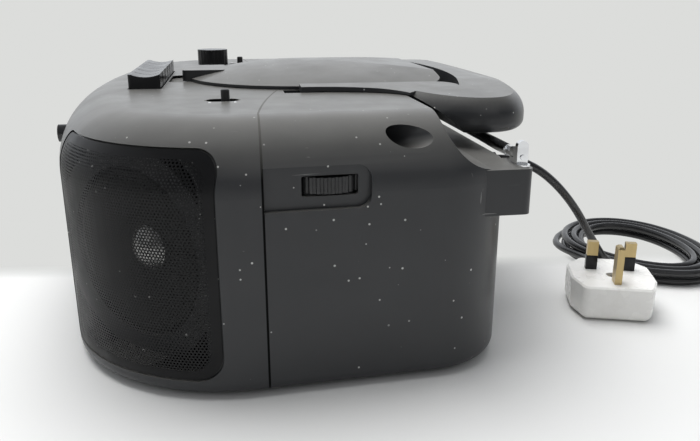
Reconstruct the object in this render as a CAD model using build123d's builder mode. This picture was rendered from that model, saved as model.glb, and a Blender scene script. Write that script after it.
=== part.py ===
from build123d import *
import math
import os

# A portable disc, radio and cassette player. Millimetres, +Z up, front towards -Y.
# The origin is on the table under the middle of the body and its folded handle.

os.makedirs("parts", exist_ok=True)

# Cabinet outline, seen from above
front_y = -140.0
side_x = 198.0
front_corner_r = 89.0
front_bow_r = 559.0
side_taper = 3.2
rear_y = 97.0
rear_corner_r = 43.0
# Cabinet heights and edges
base_z = 2.0
deck_z = 129.0
top_edge_r = 32.0
bottom_edge_r = 6.0
wall = 2.6
foot_h = 2.0
# Seam between the front and rear halves
seam_side_y = -27.0
seam_mid_y = -9.5
# Disc lid and well
lid_r = 76.0
lid_mid_y = 10.0
lid_rear_y = 90.0
lid_crown_z = deck_z + 12.0
lid_edge_z = deck_z + 2.0
lid_lip_z = deck_z + 7.2
lid_wall = 2.4
lid_gap = 0.4
well_r = 67.0
well_floor_z = deck_z - 17.0
disc_r = 60.0
disc_z = deck_z - 11.5
lid_hinge_y = 85.5
lid_hinge_z = deck_z - 1.6
# Finger pocket under the handle
pocket_floor_z = deck_z - 26.5
pocket_front_y = 57.0
# Handle
handle_rear_y = 141.5
handle_tip_x = 137.0
grip_low_z = deck_z - 18.3
grip_top_z = deck_z + 4.2
grip_round = 15.0
grip_under = 5.0
handle_pivot_y = 6.0
handle_pivot_z = deck_z - 7.5
arm_in_x = 78.0
arm_out_x = 90.0
# Speakers
speaker_angle = 42.0
grille_w = 104.0
grille_low_z = 10.0
grille_top_z = 118.0
grille_t = 1.2
cone_r = 38.0
# Tuning wheel and its recess
wheel_r = 19.0
wheel_t = 7.4
wheel_y = 2.5
wheel_z = 100.6
# Keys and controls on the deck
key_pitch = 19.0
key_w = 18.2
key_d = 18.6
key_y = -89.0
key_top_z = deck_z + 8.4
key_gap = 0.6
knob_x = -112.0
knob_y = -52.0
knob_r = 12.0
knob_top_z = deck_z + 12.2
switch_x = 115.0
band_y = -43.0
function_y = -30.0
# Antenna
antenna_x = 173.0
antenna_y = 98.5
antenna_z = deck_z - 22.1
rod_r = 3.0
rod_len = 160.0
# Battery bay for eight cells of 26 x 50
cell_d = 26.2
bay_half_x = 103.0
bay_y0 = 18.0
bay_top_z = 34.0
# Cassette, 100.4 x 63.8 x 12
tape_w = 102.6
tape_h = 64.4
door_t = 2.4
door_z0 = 26.0
door_z1 = 96.0
door_half_x = 60.0
# Mains cord and plug
cord_d = 5.0
plug_x = 126.9
plug_y = 183.8
plug_turn = -18.0
plug_t = 21.0

c1 = Vector(side_x - front_corner_r, 0)
bow_reach = front_bow_r - front_corner_r
c1 = Vector(c1.X, front_y + front_bow_r - math.sqrt(bow_reach**2 - c1.X**2))
bow_c = Vector(0, front_y + front_bow_r)
taper_cos = math.cos(math.radians(side_taper))
taper_sin = math.sin(math.radians(side_taper))
side_out = Vector(taper_cos, taper_sin)
c2_y = rear_y - rear_corner_r
c2_x = (side_out.dot(c1) + front_corner_r - rear_corner_r - taper_sin * c2_y) / taper_cos
c2 = Vector(c2_x, c2_y)
bow_out = (c1 - bow_c).normalized()
speaker_out = Vector(math.cos(math.radians(speaker_angle)), -math.sin(math.radians(speaker_angle)))


def side_at(y):
    """How far out the side wall stands at this depth."""
    return (side_out.dot(c1) + front_corner_r - taper_sin * y) / taper_cos


def outline(d):
    """The plan of the cabinet, moved inwards by d."""
    rf = front_bow_r - d
    r1 = front_corner_r - d
    r2 = rear_corner_r - d
    a = bow_c + Vector(0, -rf)
    b = bow_c + bow_out * rf
    ab = bow_c + (bow_out + Vector(0, -1)).normalized() * rf
    c = c1 + side_out * r1
    bc = c1 + (bow_out + side_out).normalized() * r1
    e = c2 + side_out * r2
    f = c2 + Vector(0, r2)
    ef = c2 + (side_out + Vector(0, 1)).normalized() * r2
    with BuildSketch() as plan:
        with BuildLine():
            ThreePointArc(a, ab, b)
            ThreePointArc(b, bc, c)
            Line(c, e)
            ThreePointArc(e, ef, f)
            Line(f, Vector(0, rear_y - d))
            mirror(about=Plane.YZ)
        make_face()
    return plan.sketch


def lid_outline(d):
    """The plan of the disc lid, moved inwards by d."""
    r = lid_r - d
    rear = lid_rear_y - d
    corner = 14.0
    bend = corner * (1 - math.sqrt(0.5))
    with BuildSketch() as plan:
        with BuildLine():
            ThreePointArc((-r, lid_mid_y), (0, lid_mid_y - r), (r, lid_mid_y))
            Line((r, lid_mid_y), (r, rear - corner))
            ThreePointArc((r, rear - corner), (r - bend, rear - bend), (r - corner, rear))
            Line((r - corner, rear), (-r + corner, rear))
            ThreePointArc((-r + corner, rear), (-r + bend, rear - bend), (-r, rear - corner))
            Line((-r, rear - corner), (-r, lid_mid_y))
        make_face()
    return plan.sketch


def block(d):
    """The outer shape of the whole cabinet, moved inwards by d on every face."""
    with BuildPart() as b:
        with BuildSketch(Plane.XY.offset(base_z + d)):
            add(outline(d))
        extrude(amount=deck_z - base_z - 2 * d)
        fillet(b.faces().sort_by(Axis.Z)[-1].edges(), top_edge_r - d)
        fillet(b.faces().sort_by(Axis.Z)[0].edges(), bottom_edge_r - d)
        # island that carries the rear of the lid
        with BuildSketch(Plane.XY.offset(70.0)):
            add(lid_outline(1.0 + d))
        extrude(amount=deck_z - 70.0 - d)
        # pocket for the fingers, outside the lid
        with BuildPart(mode=Mode.PRIVATE) as hollow:
            with BuildSketch(Plane.YZ):
                with BuildLine():
                    p0 = (pocket_front_y - d, deck_z + 3)
                    p1 = (pocket_front_y + 7.5 - d, deck_z - 17.0 - d)
                    p2 = (pocket_front_y + 25.0 - d, pocket_floor_z - d)
                    ThreePointArc(p0, p1, p2)
                    Polyline(p2, (rear_y + 20, pocket_floor_z - d), (rear_y + 20, deck_z + 3), p0)
                make_face()
            extrude(amount=side_x + 10, both=True)
            with BuildSketch(Plane.XY.offset(70.0)):
                add(lid_outline(1.0 + d))
            extrude(amount=80, mode=Mode.SUBTRACT)
        add(hollow.part, mode=Mode.SUBTRACT)
        # step that the rear edge of the lid turns into
        with BuildSketch(Plane.XY.offset(deck_z - 7.0 - d)):
            with Locations((0, lid_rear_y + 5 - d / 2)):
                Rectangle(2 * lid_r + 10, 28 + d)
        extrude(amount=30, mode=Mode.SUBTRACT)
    return b.part


def front_side():
    """Everything in front of the seam, as one tall block."""
    with BuildPart() as s:
        with BuildSketch(Plane.XY.offset(-20)):
            with BuildLine():
                Polyline((165, -26.5), (260, seam_side_y), (260, -260), (-260, -260),
                         (-260, seam_side_y), (-165, -26.5))
                ThreePointArc((-165, -26.5), (-118, -20.4), (-66, seam_mid_y))
                Line((-66, seam_mid_y), (66, seam_mid_y))
                ThreePointArc((66, seam_mid_y), (118, -20.4), (165, -26.5))
            make_face()
        extrude(amount=200)
    return s.part


outer = block(0)
inner = block(wall)
front_half = front_side()


def speaker_plane(side, distance):
    """A plane square to a speaker's axis, this far out from the corner's centre."""
    n = Vector(side * speaker_out.X, speaker_out.Y)
    mid = Vector(side * c1.X, c1.Y) + n * distance
    z = (grille_low_z + grille_top_z) / 2
    return Plane(origin=(mid.X, mid.Y, z), x_dir=(-n.Y, n.X, 0), z_dir=(n.X, n.Y, 0))


grille_h = grille_top_z - grille_low_z
display_half_x = 52.0
display_z0 = 103.0
display_z1 = 117.0
recess_y0 = seam_side_y
recess_y1 = 21.5
recess_z0 = 90.2
recess_z1 = 109.6
recess_depth = 3.0
recess_mid_z = (recess_z0 + recess_z1) / 2
bay_y1 = bay_y0 + 2 * cell_d + 1.6
bay_mid_y = (bay_y0 + bay_y1) / 2
running = 0.05
button_r = 5.0
button_z = 106.0
button_face_y = -137.4
screw_spots = ((120.0, 30.0), (-120.0, 30.0), (-60.0, 84.0), (-120.0, 84.0))
gland_x = 108.0
gland_z = 90.5


def side_plane(y, z, depth):
    """A plane along the tapering side wall, sunk by this depth."""
    n = Vector(side_out.X, side_out.Y)
    return Plane(origin=(side_at(y) - depth, y, z), x_dir=(-n.Y, n.X, 0), z_dir=(n.X, n.Y, 0))


def seat_ring(side):
    """The ring inside the corner that a speaker's flange is screwed to."""
    with BuildPart() as ring:
        with BuildSketch(speaker_plane(side, 69.2)):
            Circle(53.0)
            Circle(42.0, mode=Mode.SUBTRACT)
        extrude(amount=22)
        add(block(wall - 0.2), mode=Mode.INTERSECT)
    return ring.part


def grille_prism(side, grow):
    """The outline of a grille, carried out along its speaker's axis."""
    with BuildPart() as prism:
        with BuildSketch(speaker_plane(side, 40)):
            RectangleRounded(grille_w + 2 * grow, grille_h + 2 * grow, 12.0)
        extrude(amount=80)
    return prism.part


skin_recess = block(grille_t + 0.6)
skin_outer = block(0.4)
skin_inner = block(0.4 + grille_t)

# Front half of the cabinet
with BuildPart() as front_cabinet:
    add(outer)
    add(inner, mode=Mode.SUBTRACT)
    for side in (1, -1):
        add(seat_ring(side))
    add(front_half, mode=Mode.INTERSECT)
    # speaker openings, leaving a ledge behind each grille
    for side in (1, -1):
        with BuildPart(mode=Mode.PRIVATE) as rebate:
            add(grille_prism(side, 0.4))
            add(skin_recess, mode=Mode.SUBTRACT)
        add(rebate.part, mode=Mode.SUBTRACT)
        with BuildSketch(speaker_plane(side, 74)):
            RectangleRounded(grille_w - 8, grille_h - 8, 10)
        extrude(amount=40, mode=Mode.SUBTRACT)
    # cassette door and display openings
    with BuildSketch(Plane.XZ.offset(115)):
        with Locations((0, (door_z0 + door_z1) / 2 - 0.6)):
            Rectangle(2 * door_half_x + 1.0, door_z1 - door_z0 + 2.6)
        with Locations((0, (display_z0 + display_z1) / 2)):
            Rectangle(2 * display_half_x + 0.4, display_z1 - display_z0 + 0.4)
        with Locations((68.0, button_z), (-68.0, button_z)):
            Circle(button_r + 0.35)
    extrude(amount=60, mode=Mode.SUBTRACT)
    # disc well, key row, knob and switch holes in the deck
    with BuildSketch(Plane.XY.offset(deck_z - 8)):
        with Locations((0, lid_mid_y)):
            Circle(well_r + lid_gap)
        with Locations((0, key_y)):
            Rectangle(6 * key_pitch + 0.8, key_d + 1.2)
        with Locations((knob_x, knob_y)):
            Circle(4.0)
        with Locations((switch_x, band_y), (-switch_x, function_y)):
            SlotOverall(17.0, 10.5, rotation=90)
    extrude(amount=30, mode=Mode.SUBTRACT)
    # finger recess in front of the lid's lip
    with BuildSketch(Plane.XY.offset(deck_z - 1.8)):
        with Locations((0, lid_mid_y - lid_r - 5.5)):
            SlotOverall(46.0, 13.0)
    extrude(amount=10, mode=Mode.SUBTRACT)
front_cabinet.part.label = "front_cabinet"
export_step(front_cabinet.part, "parts/front_cabinet.step")

# Rear half of the cabinet
with BuildPart() as tuning_seat:
    with BuildSketch(side_plane((recess_y0 + recess_y1) / 2, recess_mid_z, recess_depth + 2.4)):
        Rectangle(recess_y1 - recess_y0 + 8, recess_z1 - recess_z0 + 6)
    extrude(amount=8)
    add(outer, mode=Mode.INTERSECT)

scoop_from = Vector(172.0, 22.0, 113.5)
scoop_to = Vector(192.0, 54.0, 124.5)
scoop_axis = (scoop_to - scoop_from).normalized()


def scoop(r):
    """The slanting teardrop hollow in the shoulder."""
    with BuildPart() as s:
        with BuildSketch(Plane(origin=scoop_from - scoop_axis * (r - 6.5), z_dir=scoop_axis)):
            Circle(r)
        extrude(amount=60)
    return s.part


with BuildPart() as scoop_seat:
    add(scoop(8.8))
    add(outer, mode=Mode.INTERSECT)

with BuildPart() as rear_cabinet:
    add(outer)
    add(inner, mode=Mode.SUBTRACT)
    add(tuning_seat.part)
    add(scoop_seat.part)
    # block that carries the antenna
    with BuildSketch(Plane.XY.offset(80.0)):
        with Locations((antenna_x - 1.0, 84.5)):
            RectangleRounded(26.0, 36.0, 4.0)
    extrude(amount=pocket_floor_z - 80.0)
    # battery bay, and posts that carry the main board
    with BuildSketch(Plane.XY.offset(base_z)):
        with Locations((0, bay_mid_y)):
            Rectangle(2 * bay_half_x + 4, bay_y1 - bay_y0 + 4)
    extrude(amount=bay_top_z + 2.0 - base_z)
    with BuildSketch(Plane.XY.offset(bay_top_z + 1.9)):
        with Locations((0, bay_mid_y)):
            with GridLocations(150, 40, 2, 2):
                Circle(3.0)
    extrude(amount=6.1)
    # ears for the handle's pivot pins, under the deck
    for side in (1, -1):
        with BuildSketch(Plane.XY.offset(handle_pivot_z - 5)):
            with Locations((side * (arm_in_x - 3.0), handle_pivot_y), (side * (arm_out_x + 3.0), handle_pivot_y)):
                Rectangle(3.4, 12.0)
        extrude(amount=deck_z - wall + 0.2 - handle_pivot_z + 5)
    # ledge under the tuner board
    with BuildPart(mode=Mode.PRIVATE) as ledge:
        with BuildSketch(Plane.XY.offset(73.0)):
            with Locations((190.0, 6.0)):
                Rectangle(12.0, 36.0)
        extrude(amount=3.0)
        add(outer, mode=Mode.INTERSECT)
    add(ledge.part)
    # cheeks for the lid's hinge pin, on the step behind the lid
    with BuildSketch(Plane.XY.offset(deck_z - 8.0)):
        with Locations((0, lid_hinge_y)):
            with GridLocations(100.0, 1, 2, 1):
                Rectangle(8.0, 4.6)
    extrude(amount=lid_hinge_z + 1.2 - deck_z + 8.0)
    add(front_half, mode=Mode.SUBTRACT)
    # battery bay inside
    with BuildSketch(Plane.XY.offset(base_z - 1)):
        with Locations((0, bay_mid_y)):
            Rectangle(2 * bay_half_x, bay_y1 - bay_y0)
    extrude(amount=bay_top_z - base_z + 1, mode=Mode.SUBTRACT)
    # tuning recess and the opening for its wheel
    with BuildSketch(side_plane((recess_y0 + recess_y1) / 2 - 3, recess_mid_z, recess_depth)):
        RectangleRounded(recess_y1 - recess_y0 + 6, recess_z1 - recess_z0, 6.0)
    extrude(amount=12, mode=Mode.SUBTRACT)
    with BuildSketch(side_plane(wheel_y, wheel_z, recess_depth + 8)):
        RectangleRounded(25.7, 9.4, 1.0)
    extrude(amount=12, mode=Mode.SUBTRACT)
    add(scoop(6.5), mode=Mode.SUBTRACT)
    # disc well and handle slots in the deck
    with BuildSketch(Plane.XY.offset(deck_z - 8)):
        with Locations((0, lid_mid_y)):
            Circle(well_r + lid_gap)
        with Locations(((arm_in_x + arm_out_x) / 2, 3.5), (-(arm_in_x + arm_out_x) / 2, 3.5)):
            Rectangle(arm_out_x - arm_in_x + 1.2, 24.0)
    extrude(amount=30, mode=Mode.SUBTRACT)
    # bores for the handle pins and the lid's hinge pin
    with BuildSketch(Plane.YZ.offset(-130)):
        with Locations((handle_pivot_y, handle_pivot_z)):
            Circle(2.0 + running)
    extrude(amount=260, mode=Mode.SUBTRACT)
    with BuildSketch(Plane.YZ.offset(-60)):
        with Locations((lid_hinge_y, lid_hinge_z)):
            Circle(1.0 + running)
    extrude(amount=120, mode=Mode.SUBTRACT)
    # hole for the mains cord's strain relief
    with BuildSketch(Plane.XZ.offset(-rear_y - 5)):
        with Locations((gland_x, gland_z)):
            Circle(5.0)
        with Locations(*screw_spots):
            Circle(1.5 + running)
    extrude(amount=20, mode=Mode.SUBTRACT)
rear_cabinet.part.label = "rear_cabinet"
export_step(rear_cabinet.part, "parts/rear_cabinet.step")

# Grilles over the speakers
grille_bodies = []
for side in (1, -1):
    with BuildPart() as grille:
        add(skin_outer)
        add(skin_inner, mode=Mode.SUBTRACT)
        add(grille_prism(side, 0), mode=Mode.INTERSECT)
    grille_bodies.append(grille.part)
speaker_grilles = Compound(grille_bodies)
speaker_grilles.label = "speaker_grilles"
export_step(speaker_grilles, "parts/speaker_grilles.step")

# Speakers: baskets with magnets, then the cones, then the dust caps
both_speakers = [speaker_plane(side, 0).location for side in (1, -1)]
with BuildPart() as basket:
    with BuildSketch(Plane.XZ):
        with BuildLine():
            Polyline((0, 33), (20, 33), (20, 45), (46, 66.8), (46, 69.0), (39.4, 69.0),
                     (39.4, 67.2), (17, 47), (0, 47), (0, 33))
        make_face()
    revolve(axis=Axis.Z)
speaker_baskets = Compound([basket.part.moved(place) for place in both_speakers])
speaker_baskets.label = "speaker_baskets"
export_step(speaker_baskets, "parts/speaker_baskets.step")

with BuildPart() as cone:
    with BuildSketch(Plane.XZ):
        with BuildLine():
            Polyline((11.2, 64.0), (36.0, 68.9), (39.0, 70.8), (42.0, 69.3),
                     (42.0, 70.3), (39.0, 71.8), (35.4, 69.9), (11.2, 65.0), (11.2, 64.0))
        make_face()
    revolve(axis=Axis.Z)
speaker_cones = Compound([cone.part.moved(place) for place in both_speakers])
speaker_cones.label = "speaker_cones"
export_step(speaker_cones, "parts/speaker_cones.step")

with BuildPart() as cap:
    with Locations((0, 0, 55.5)):
        Sphere(15.0)
        Sphere(14.2, mode=Mode.SUBTRACT)
    with Locations((0, 0, 50.3)):
        Box(40, 40, 30, mode=Mode.SUBTRACT)
dust_caps = Compound([cap.part.moved(place) for place in both_speakers])
dust_caps.label = "dust_caps"
export_step(dust_caps, "parts/dust_caps.step")

# Disc well, hung from the underside of the deck
with BuildPart() as cd_well:
    with BuildSketch(Plane.XY.offset(well_floor_z - 2)):
        with Locations((0, lid_mid_y)):
            Circle(well_r)
    extrude(amount=deck_z - 0.6 - well_floor_z + 2)
    with BuildSketch(Plane.XY.offset(deck_z - wall - 2)):
        with Locations((0, lid_mid_y)):
            Circle(well_r + 3.4)
        with Locations((0, 88.0)):
            Rectangle(60.0, 20.0, mode=Mode.SUBTRACT)
    extrude(amount=2)
    with BuildSketch(Plane.XY.offset(well_floor_z)):
        with Locations((0, lid_mid_y)):
            Circle(well_r - 2)
    extrude(amount=20, mode=Mode.SUBTRACT)
    # brackets for the sled's rods
    with BuildSketch(Plane.XY.offset(99.0)):
        with Locations((14, -53.6), (-14, -53.6)):
            Rectangle(7, 2.4)
        with Locations((14, 6.5), (-14, 6.5)):
            Rectangle(7, 3)
    extrude(amount=well_floor_z - 2 - 99.0)
    with BuildSketch(Plane.XZ.offset(-20)):
        with Locations((14, 103), (-14, 103)):
            Circle(1.5 + running)
    extrude(amount=100, mode=Mode.SUBTRACT)
    # hub hole and the slot that the laser looks through
    with BuildSketch(Plane.XY.offset(90)):
        with Locations((0, lid_mid_y)):
            Circle(5.0)
        with Locations((0, -22.0)):
            Rectangle(16.0, 62.0)
    extrude(amount=30, mode=Mode.SUBTRACT)
cd_well.part.label = "cd_well"
export_step(cd_well.part, "parts/cd_well.step")

with BuildPart() as spindle_motor:
    with BuildSketch(Plane.XY.offset(94)):
        with Locations((0, lid_mid_y)):
            Circle(10.0)
    extrude(amount=well_floor_z - 2 - 94)
    with BuildSketch(Plane.XY.offset(deck_z - 29.0)):
        with Locations((0, lid_mid_y)):
            Circle(1.5 + running)
    extrude(amount=20, mode=Mode.SUBTRACT)
spindle_motor.part.label = "spindle_motor"
export_step(spindle_motor.part, "parts/spindle_motor.step")

with BuildPart() as spindle_hub:
    for z0, z1, r in ((-28.0, -16.0, 1.5), (-16.4, -11.7, 14.0), (-11.7, -10.4, 7.4)):
        with BuildSketch(Plane.XY.offset(deck_z + z0)):
            with Locations((0, lid_mid_y)):
                Circle(r)
        extrude(amount=z1 - z0)
spindle_hub.part.label = "spindle_hub"
export_step(spindle_hub.part, "parts/spindle_hub.step")

lens_y = lid_mid_y - 25.0
with BuildPart() as laser_sled:
    with BuildSketch(Plane.XY.offset(99.5)):
        with Locations((0, lens_y + 3.2)):
            RectangleRounded(36, 18.4, 2)
    extrude(amount=7)
    with BuildSketch(Plane.XY.offset(deck_z - 22.5)):
        with Locations((0, lens_y)):
            Rectangle(12, 12)
    extrude(amount=6)
    with BuildSketch(Plane.XY.offset(deck_z - 16.5)):
        with Locations((0, lens_y)):
            Circle(3.6)
    extrude(amount=2.4)
    with BuildSketch(Plane.XZ.offset(-20)):
        with Locations((14, 103), (-14, 103)):
            Circle(1.5 + running)
    extrude(amount=100, mode=Mode.SUBTRACT)
laser_sled.part.label = "laser_sled"
export_step(laser_sled.part, "parts/laser_sled.step")

with BuildPart() as sled_rods:
    with BuildSketch(Plane.XZ.offset(-8)):
        with Locations((14, 103), (-14, 103)):
            Circle(1.5)
    extrude(amount=62.8)
sled_rods.part.label = "sled_rods"
export_step(sled_rods.part, "parts/sled_rods.step")

# Disc lid, a shallow dome with a finger lip at the front


dome_rise = lid_crown_z - lid_edge_z
dome_r = (lid_r**2 + dome_rise**2) / (2 * dome_rise)
dome_reach = lid_r + 6
lid_front_y = lid_mid_y - lid_r


def dome(d):
    """The space under the lid's top face, lowered by d: a bowl in front, a barrel behind."""
    crown = lid_crown_z - d
    low = lid_crown_z - dome_r + math.sqrt((dome_r - d)**2 - dome_reach**2)
    half_x = dome_reach / 2
    half_z = lid_crown_z - dome_r + math.sqrt((dome_r - d)**2 - half_x**2)
    with BuildPart() as s:
        with BuildSketch(Plane.XZ.offset(-lid_mid_y)):
            with BuildLine():
                ThreePointArc((-dome_reach, low), (0, crown), (dome_reach, low))
                Polyline((dome_reach, low), (dome_reach, 100), (-dome_reach, 100), (-dome_reach, low))
            make_face()
        extrude(amount=-100)
        with BuildSketch(Plane.YZ.offset(-100)):
            with BuildLine():
                ThreePointArc((-80, crown - 5.2), (lid_mid_y, crown), (100, crown - 5.2))
                Polyline((100, crown - 5.2), (100, 100), (-80, 100), (-80, crown - 5.2))
            make_face()
        extrude(amount=200, mode=Mode.INTERSECT)
        with BuildPart(mode=Mode.PRIVATE) as bowl:
            with BuildSketch(Plane.XZ):
                with BuildLine():
                    ThreePointArc((0, crown), (half_x, half_z), (dome_reach, low))
                    Polyline((dome_reach, low), (dome_reach, 100), (0, 100), (0, crown))
                make_face()
            revolve(axis=Axis.Z)
        add(bowl.part.moved(Location((0, lid_mid_y, 0))))
    return s.part


with BuildPart() as cd_lid:
    with BuildSketch(Plane.XY.offset(deck_z + lid_gap)):
        add(lid_outline(0))
    extrude(amount=20)
    add(dome(0), mode=Mode.INTERSECT)
    with BuildPart(mode=Mode.PRIVATE) as under:
        with BuildSketch(Plane.XY.offset(deck_z + lid_gap)):
            add(lid_outline(lid_wall))
        extrude(amount=20)
        add(dome(lid_wall), mode=Mode.INTERSECT)
    add(under.part, mode=Mode.SUBTRACT)
    # finger lip at the front
    with BuildSketch(Plane.XY.offset(deck_z + lid_gap)):
        with Locations((0, lid_front_y + 10.5)):
            RectangleRounded(40.0, 27.0, 3.0)
    extrude(amount=lid_lip_z - deck_z - lid_gap)
    # cage for the disc clamp
    with BuildPart(mode=Mode.PRIVATE) as cage:
        with BuildSketch(Plane.XY.offset(deck_z - 5.0)):
            with Locations((0, lid_mid_y)):
                Circle(16.0)
        extrude(amount=15)
        with BuildSketch(Plane.XY.offset(deck_z - 3.0)):
            with Locations((0, lid_mid_y)):
                Circle(14.0)
        extrude(amount=15, mode=Mode.SUBTRACT)
        with BuildSketch(Plane.XY.offset(deck_z - 9.0)):
            with Locations((0, lid_mid_y)):
                Circle(4.3)
        extrude(amount=10, mode=Mode.SUBTRACT)
        add(dome(1.0), mode=Mode.INTERSECT)
    add(cage.part)
    # hinge barrels at the rear
    with BuildSketch(Plane.YZ.offset(-60)):
        with Locations((lid_hinge_y, lid_hinge_z)):
            Circle(2.6)
        with Locations((lid_hinge_y, lid_hinge_z + 1.6)):
            Rectangle(5.2, 3.2)
    extrude(amount=120)
    with BuildSketch(Plane.YZ.offset(-45.6)):
        with Locations((lid_hinge_y, lid_hinge_z)):
            Circle(3.4)
        with Locations((lid_hinge_y, lid_hinge_z + 1.7)):
            Rectangle(5.4, 3.4)
    extrude(amount=91.2, mode=Mode.SUBTRACT)
    with BuildSketch(Plane.XY.offset(deck_z - 6)):
        with Locations((0, lid_hinge_y)):
            with GridLocations(100.0, 1, 2, 1):
                Rectangle(8.8, 8.0)
    extrude(amount=7.2 + lid_gap, mode=Mode.SUBTRACT)
    with BuildSketch(Plane.YZ.offset(-70)):
        with Locations((lid_hinge_y, lid_hinge_z)):
            Circle(1.0 + running)
    extrude(amount=140, mode=Mode.SUBTRACT)
cd_lid.part.label = "cd_lid"
export_step(cd_lid.part, "parts/cd_lid.step")

with BuildPart() as disc_clamp:
    for z0, z1, r in ((-9.8, -5.6, 15.0), (-6.0, -2.4, 4.0), (-2.8, -1.4, 6.5)):
        with BuildSketch(Plane.XY.offset(deck_z + z0)):
            with Locations((0, lid_mid_y)):
                Circle(r)
        extrude(amount=z1 - z0)
disc_clamp.part.label = "disc_clamp"
export_step(disc_clamp.part, "parts/disc_clamp.step")

# Handle: two arms beside the lid and a wide grip behind it
with BuildPart() as handle:
    with BuildSketch(Plane.XY.offset(grip_low_z)):
        with BuildLine():
            side = [(114, 58), (127, 71), (handle_tip_x - 3, 83), (handle_tip_x, 97), (handle_tip_x - 3, 110),
                    (handle_tip_x - 14, 121), (100, 129.5), (52, 138.5)]
            rim = Spline(side + [(0, handle_rear_y)] + [(-x, y) for x, y in reversed(side)])
            Line(rim @ 1, rim @ 0)
        make_face()
    extrude(amount=grip_top_z - grip_low_z)
    fillet(handle.faces().sort_by(Axis.Z)[-1].edges().filter_by(GeomType.BSPLINE), grip_round)
    fillet(handle.faces().sort_by(Axis.Z)[0].edges().filter_by(GeomType.BSPLINE), grip_under)
    with BuildSketch(Plane.XY.offset(grip_low_z)):
        with BuildLine():
            Line((0, 1), (arm_out_x, 1))
            ThreePointArc((arm_out_x, 1), (arm_out_x + 2.5, 26), (arm_out_x + 9, 44))
            ThreePointArc((arm_out_x + 9, 44), (arm_out_x + 15, 51.5), (arm_out_x + 24, 58.5))
            Polyline((arm_out_x + 24, 58.5), (100, 72), (0, 72))
            mirror(about=Plane.YZ)
        make_face()
    extrude(amount=grip_top_z - grip_low_z)
    with BuildSketch(Plane.XY.offset(grip_low_z - 10)):
        with BuildLine():
            Line((-arm_in_x, 0), (arm_in_x, 0))
            Line((arm_in_x, 0), (arm_in_x, lid_rear_y - 12))
            ThreePointArc((arm_in_x, lid_rear_y - 12), (82.0, 89.0), (94.0, 93.0))
            ThreePointArc((94.0, 93.0), (0, lid_rear_y + 17), (-94.0, 93.0))
            ThreePointArc((-94.0, 93.0), (-82.0, 89.0), (-arm_in_x, lid_rear_y - 12))
            Line((-arm_in_x, lid_rear_y - 12), (-arm_in_x, 0))
        make_face()
    extrude(amount=60, mode=Mode.SUBTRACT)
    with BuildSketch(Plane.XZ.offset(50)):
        with BuildLine():
            ThreePointArc((-150, deck_z - 1.0), (0, deck_z + 5.5), (150, deck_z - 1.0))
            Polyline((150, deck_z - 1.0), (150, 90), (-150, 90), (-150, deck_z - 1.0))
        make_face()
    extrude(amount=-250, mode=Mode.INTERSECT)
    with BuildSketch(Plane.YZ.offset(-180)):
        with BuildLine():
            Line((0, deck_z + 0.4), (59, deck_z + 0.4))
            ThreePointArc((59, deck_z + 0.4), (73.5, deck_z - 8.2), (86, grip_low_z - 1))
            Polyline((86, grip_low_z - 1), (150, grip_low_z - 1), (150, deck_z - 3.5))
            ThreePointArc((150, deck_z - 3.5), (128, deck_z + 2.6), (105, deck_z + 5.0))
            Polyline((105, deck_z + 5.0), (0, deck_z + 5.0), (0, deck_z + 0.4))
        make_face()
    extrude(amount=360, mode=Mode.INTERSECT)
    # tabs that go down through the deck to the pivot pins
    with BuildSketch(Plane.YZ.offset(-arm_out_x + 0.4)):
        with Locations((handle_pivot_y, handle_pivot_z)):
            Circle(4.6)
        with Locations((handle_pivot_y, (handle_pivot_z + deck_z + 3.0) / 2)):
            Rectangle(9.2, deck_z + 3.0 - handle_pivot_z)
    extrude(amount=2 * arm_out_x - 0.8)
    with BuildSketch(Plane.XY.offset(deck_z - 29.0)):
        with Locations((0, 20)):
            Rectangle(2 * arm_in_x, 80)
    extrude(amount=60, mode=Mode.SUBTRACT)
    with BuildSketch(Plane.YZ.offset(-130)):
        with Locations((handle_pivot_y, handle_pivot_z)):
            Circle(2.0 + running)
    extrude(amount=260, mode=Mode.SUBTRACT)
handle.part.label = "handle"
export_step(handle.part, "parts/handle.step")
print("handle", len(handle.part.solids()), handle.part.bounding_box())

with BuildPart() as hinge_pins:
    for x0 in (arm_in_x - 4.6, -arm_out_x - 4.6):
        with BuildSketch(Plane.YZ.offset(x0)):
            with Locations((handle_pivot_y, handle_pivot_z)):
                Circle(2.0)
        extrude(amount=arm_out_x - arm_in_x + 9.2)
    for x0 in (45.7, -60.0):
        with BuildSketch(Plane.YZ.offset(x0)):
            with Locations((lid_hinge_y, lid_hinge_z)):
                Circle(1.0)
        extrude(amount=14.3)
hinge_pins.part.label = "hinge_pins"
export_step(hinge_pins.part, "parts/hinge_pins.step")

# Tuning wheel on the shaft of its capacitor
wheel_x = side_at(wheel_y) - recess_depth + 1.4 - wheel_r
with BuildPart() as tuning_wheel:
    with BuildSketch(Plane.XY.offset(wheel_z - wheel_t / 2)):
        with Locations((wheel_x, wheel_y)):
            Circle(wheel_r)
            with PolarLocations(wheel_r + 0.45, 36):
                Circle(1.05, mode=Mode.SUBTRACT)
            Circle(3.0 + running, mode=Mode.SUBTRACT)
    extrude(amount=wheel_t)
tuning_wheel.part.label = "tuning_wheel"
export_step(tuning_wheel.part, "parts/tuning_wheel.step")

with BuildPart() as tuning_capacitor:
    with BuildSketch(Plane.XY.offset(78.6)):
        with Locations((wheel_x, wheel_y)):
            RectangleRounded(24, 24, 1.5)
    extrude(amount=wheel_z - wheel_t / 2 - 0.5 - 78.6)
    with BuildSketch(Plane.XY.offset(90)):
        with Locations((wheel_x, wheel_y)):
            Circle(3.0)
    extrude(amount=wheel_z + wheel_t / 2 - 90)
tuning_capacitor.part.label = "tuning_capacitor"
export_step(tuning_capacitor.part, "parts/tuning_capacitor.step")

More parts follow.
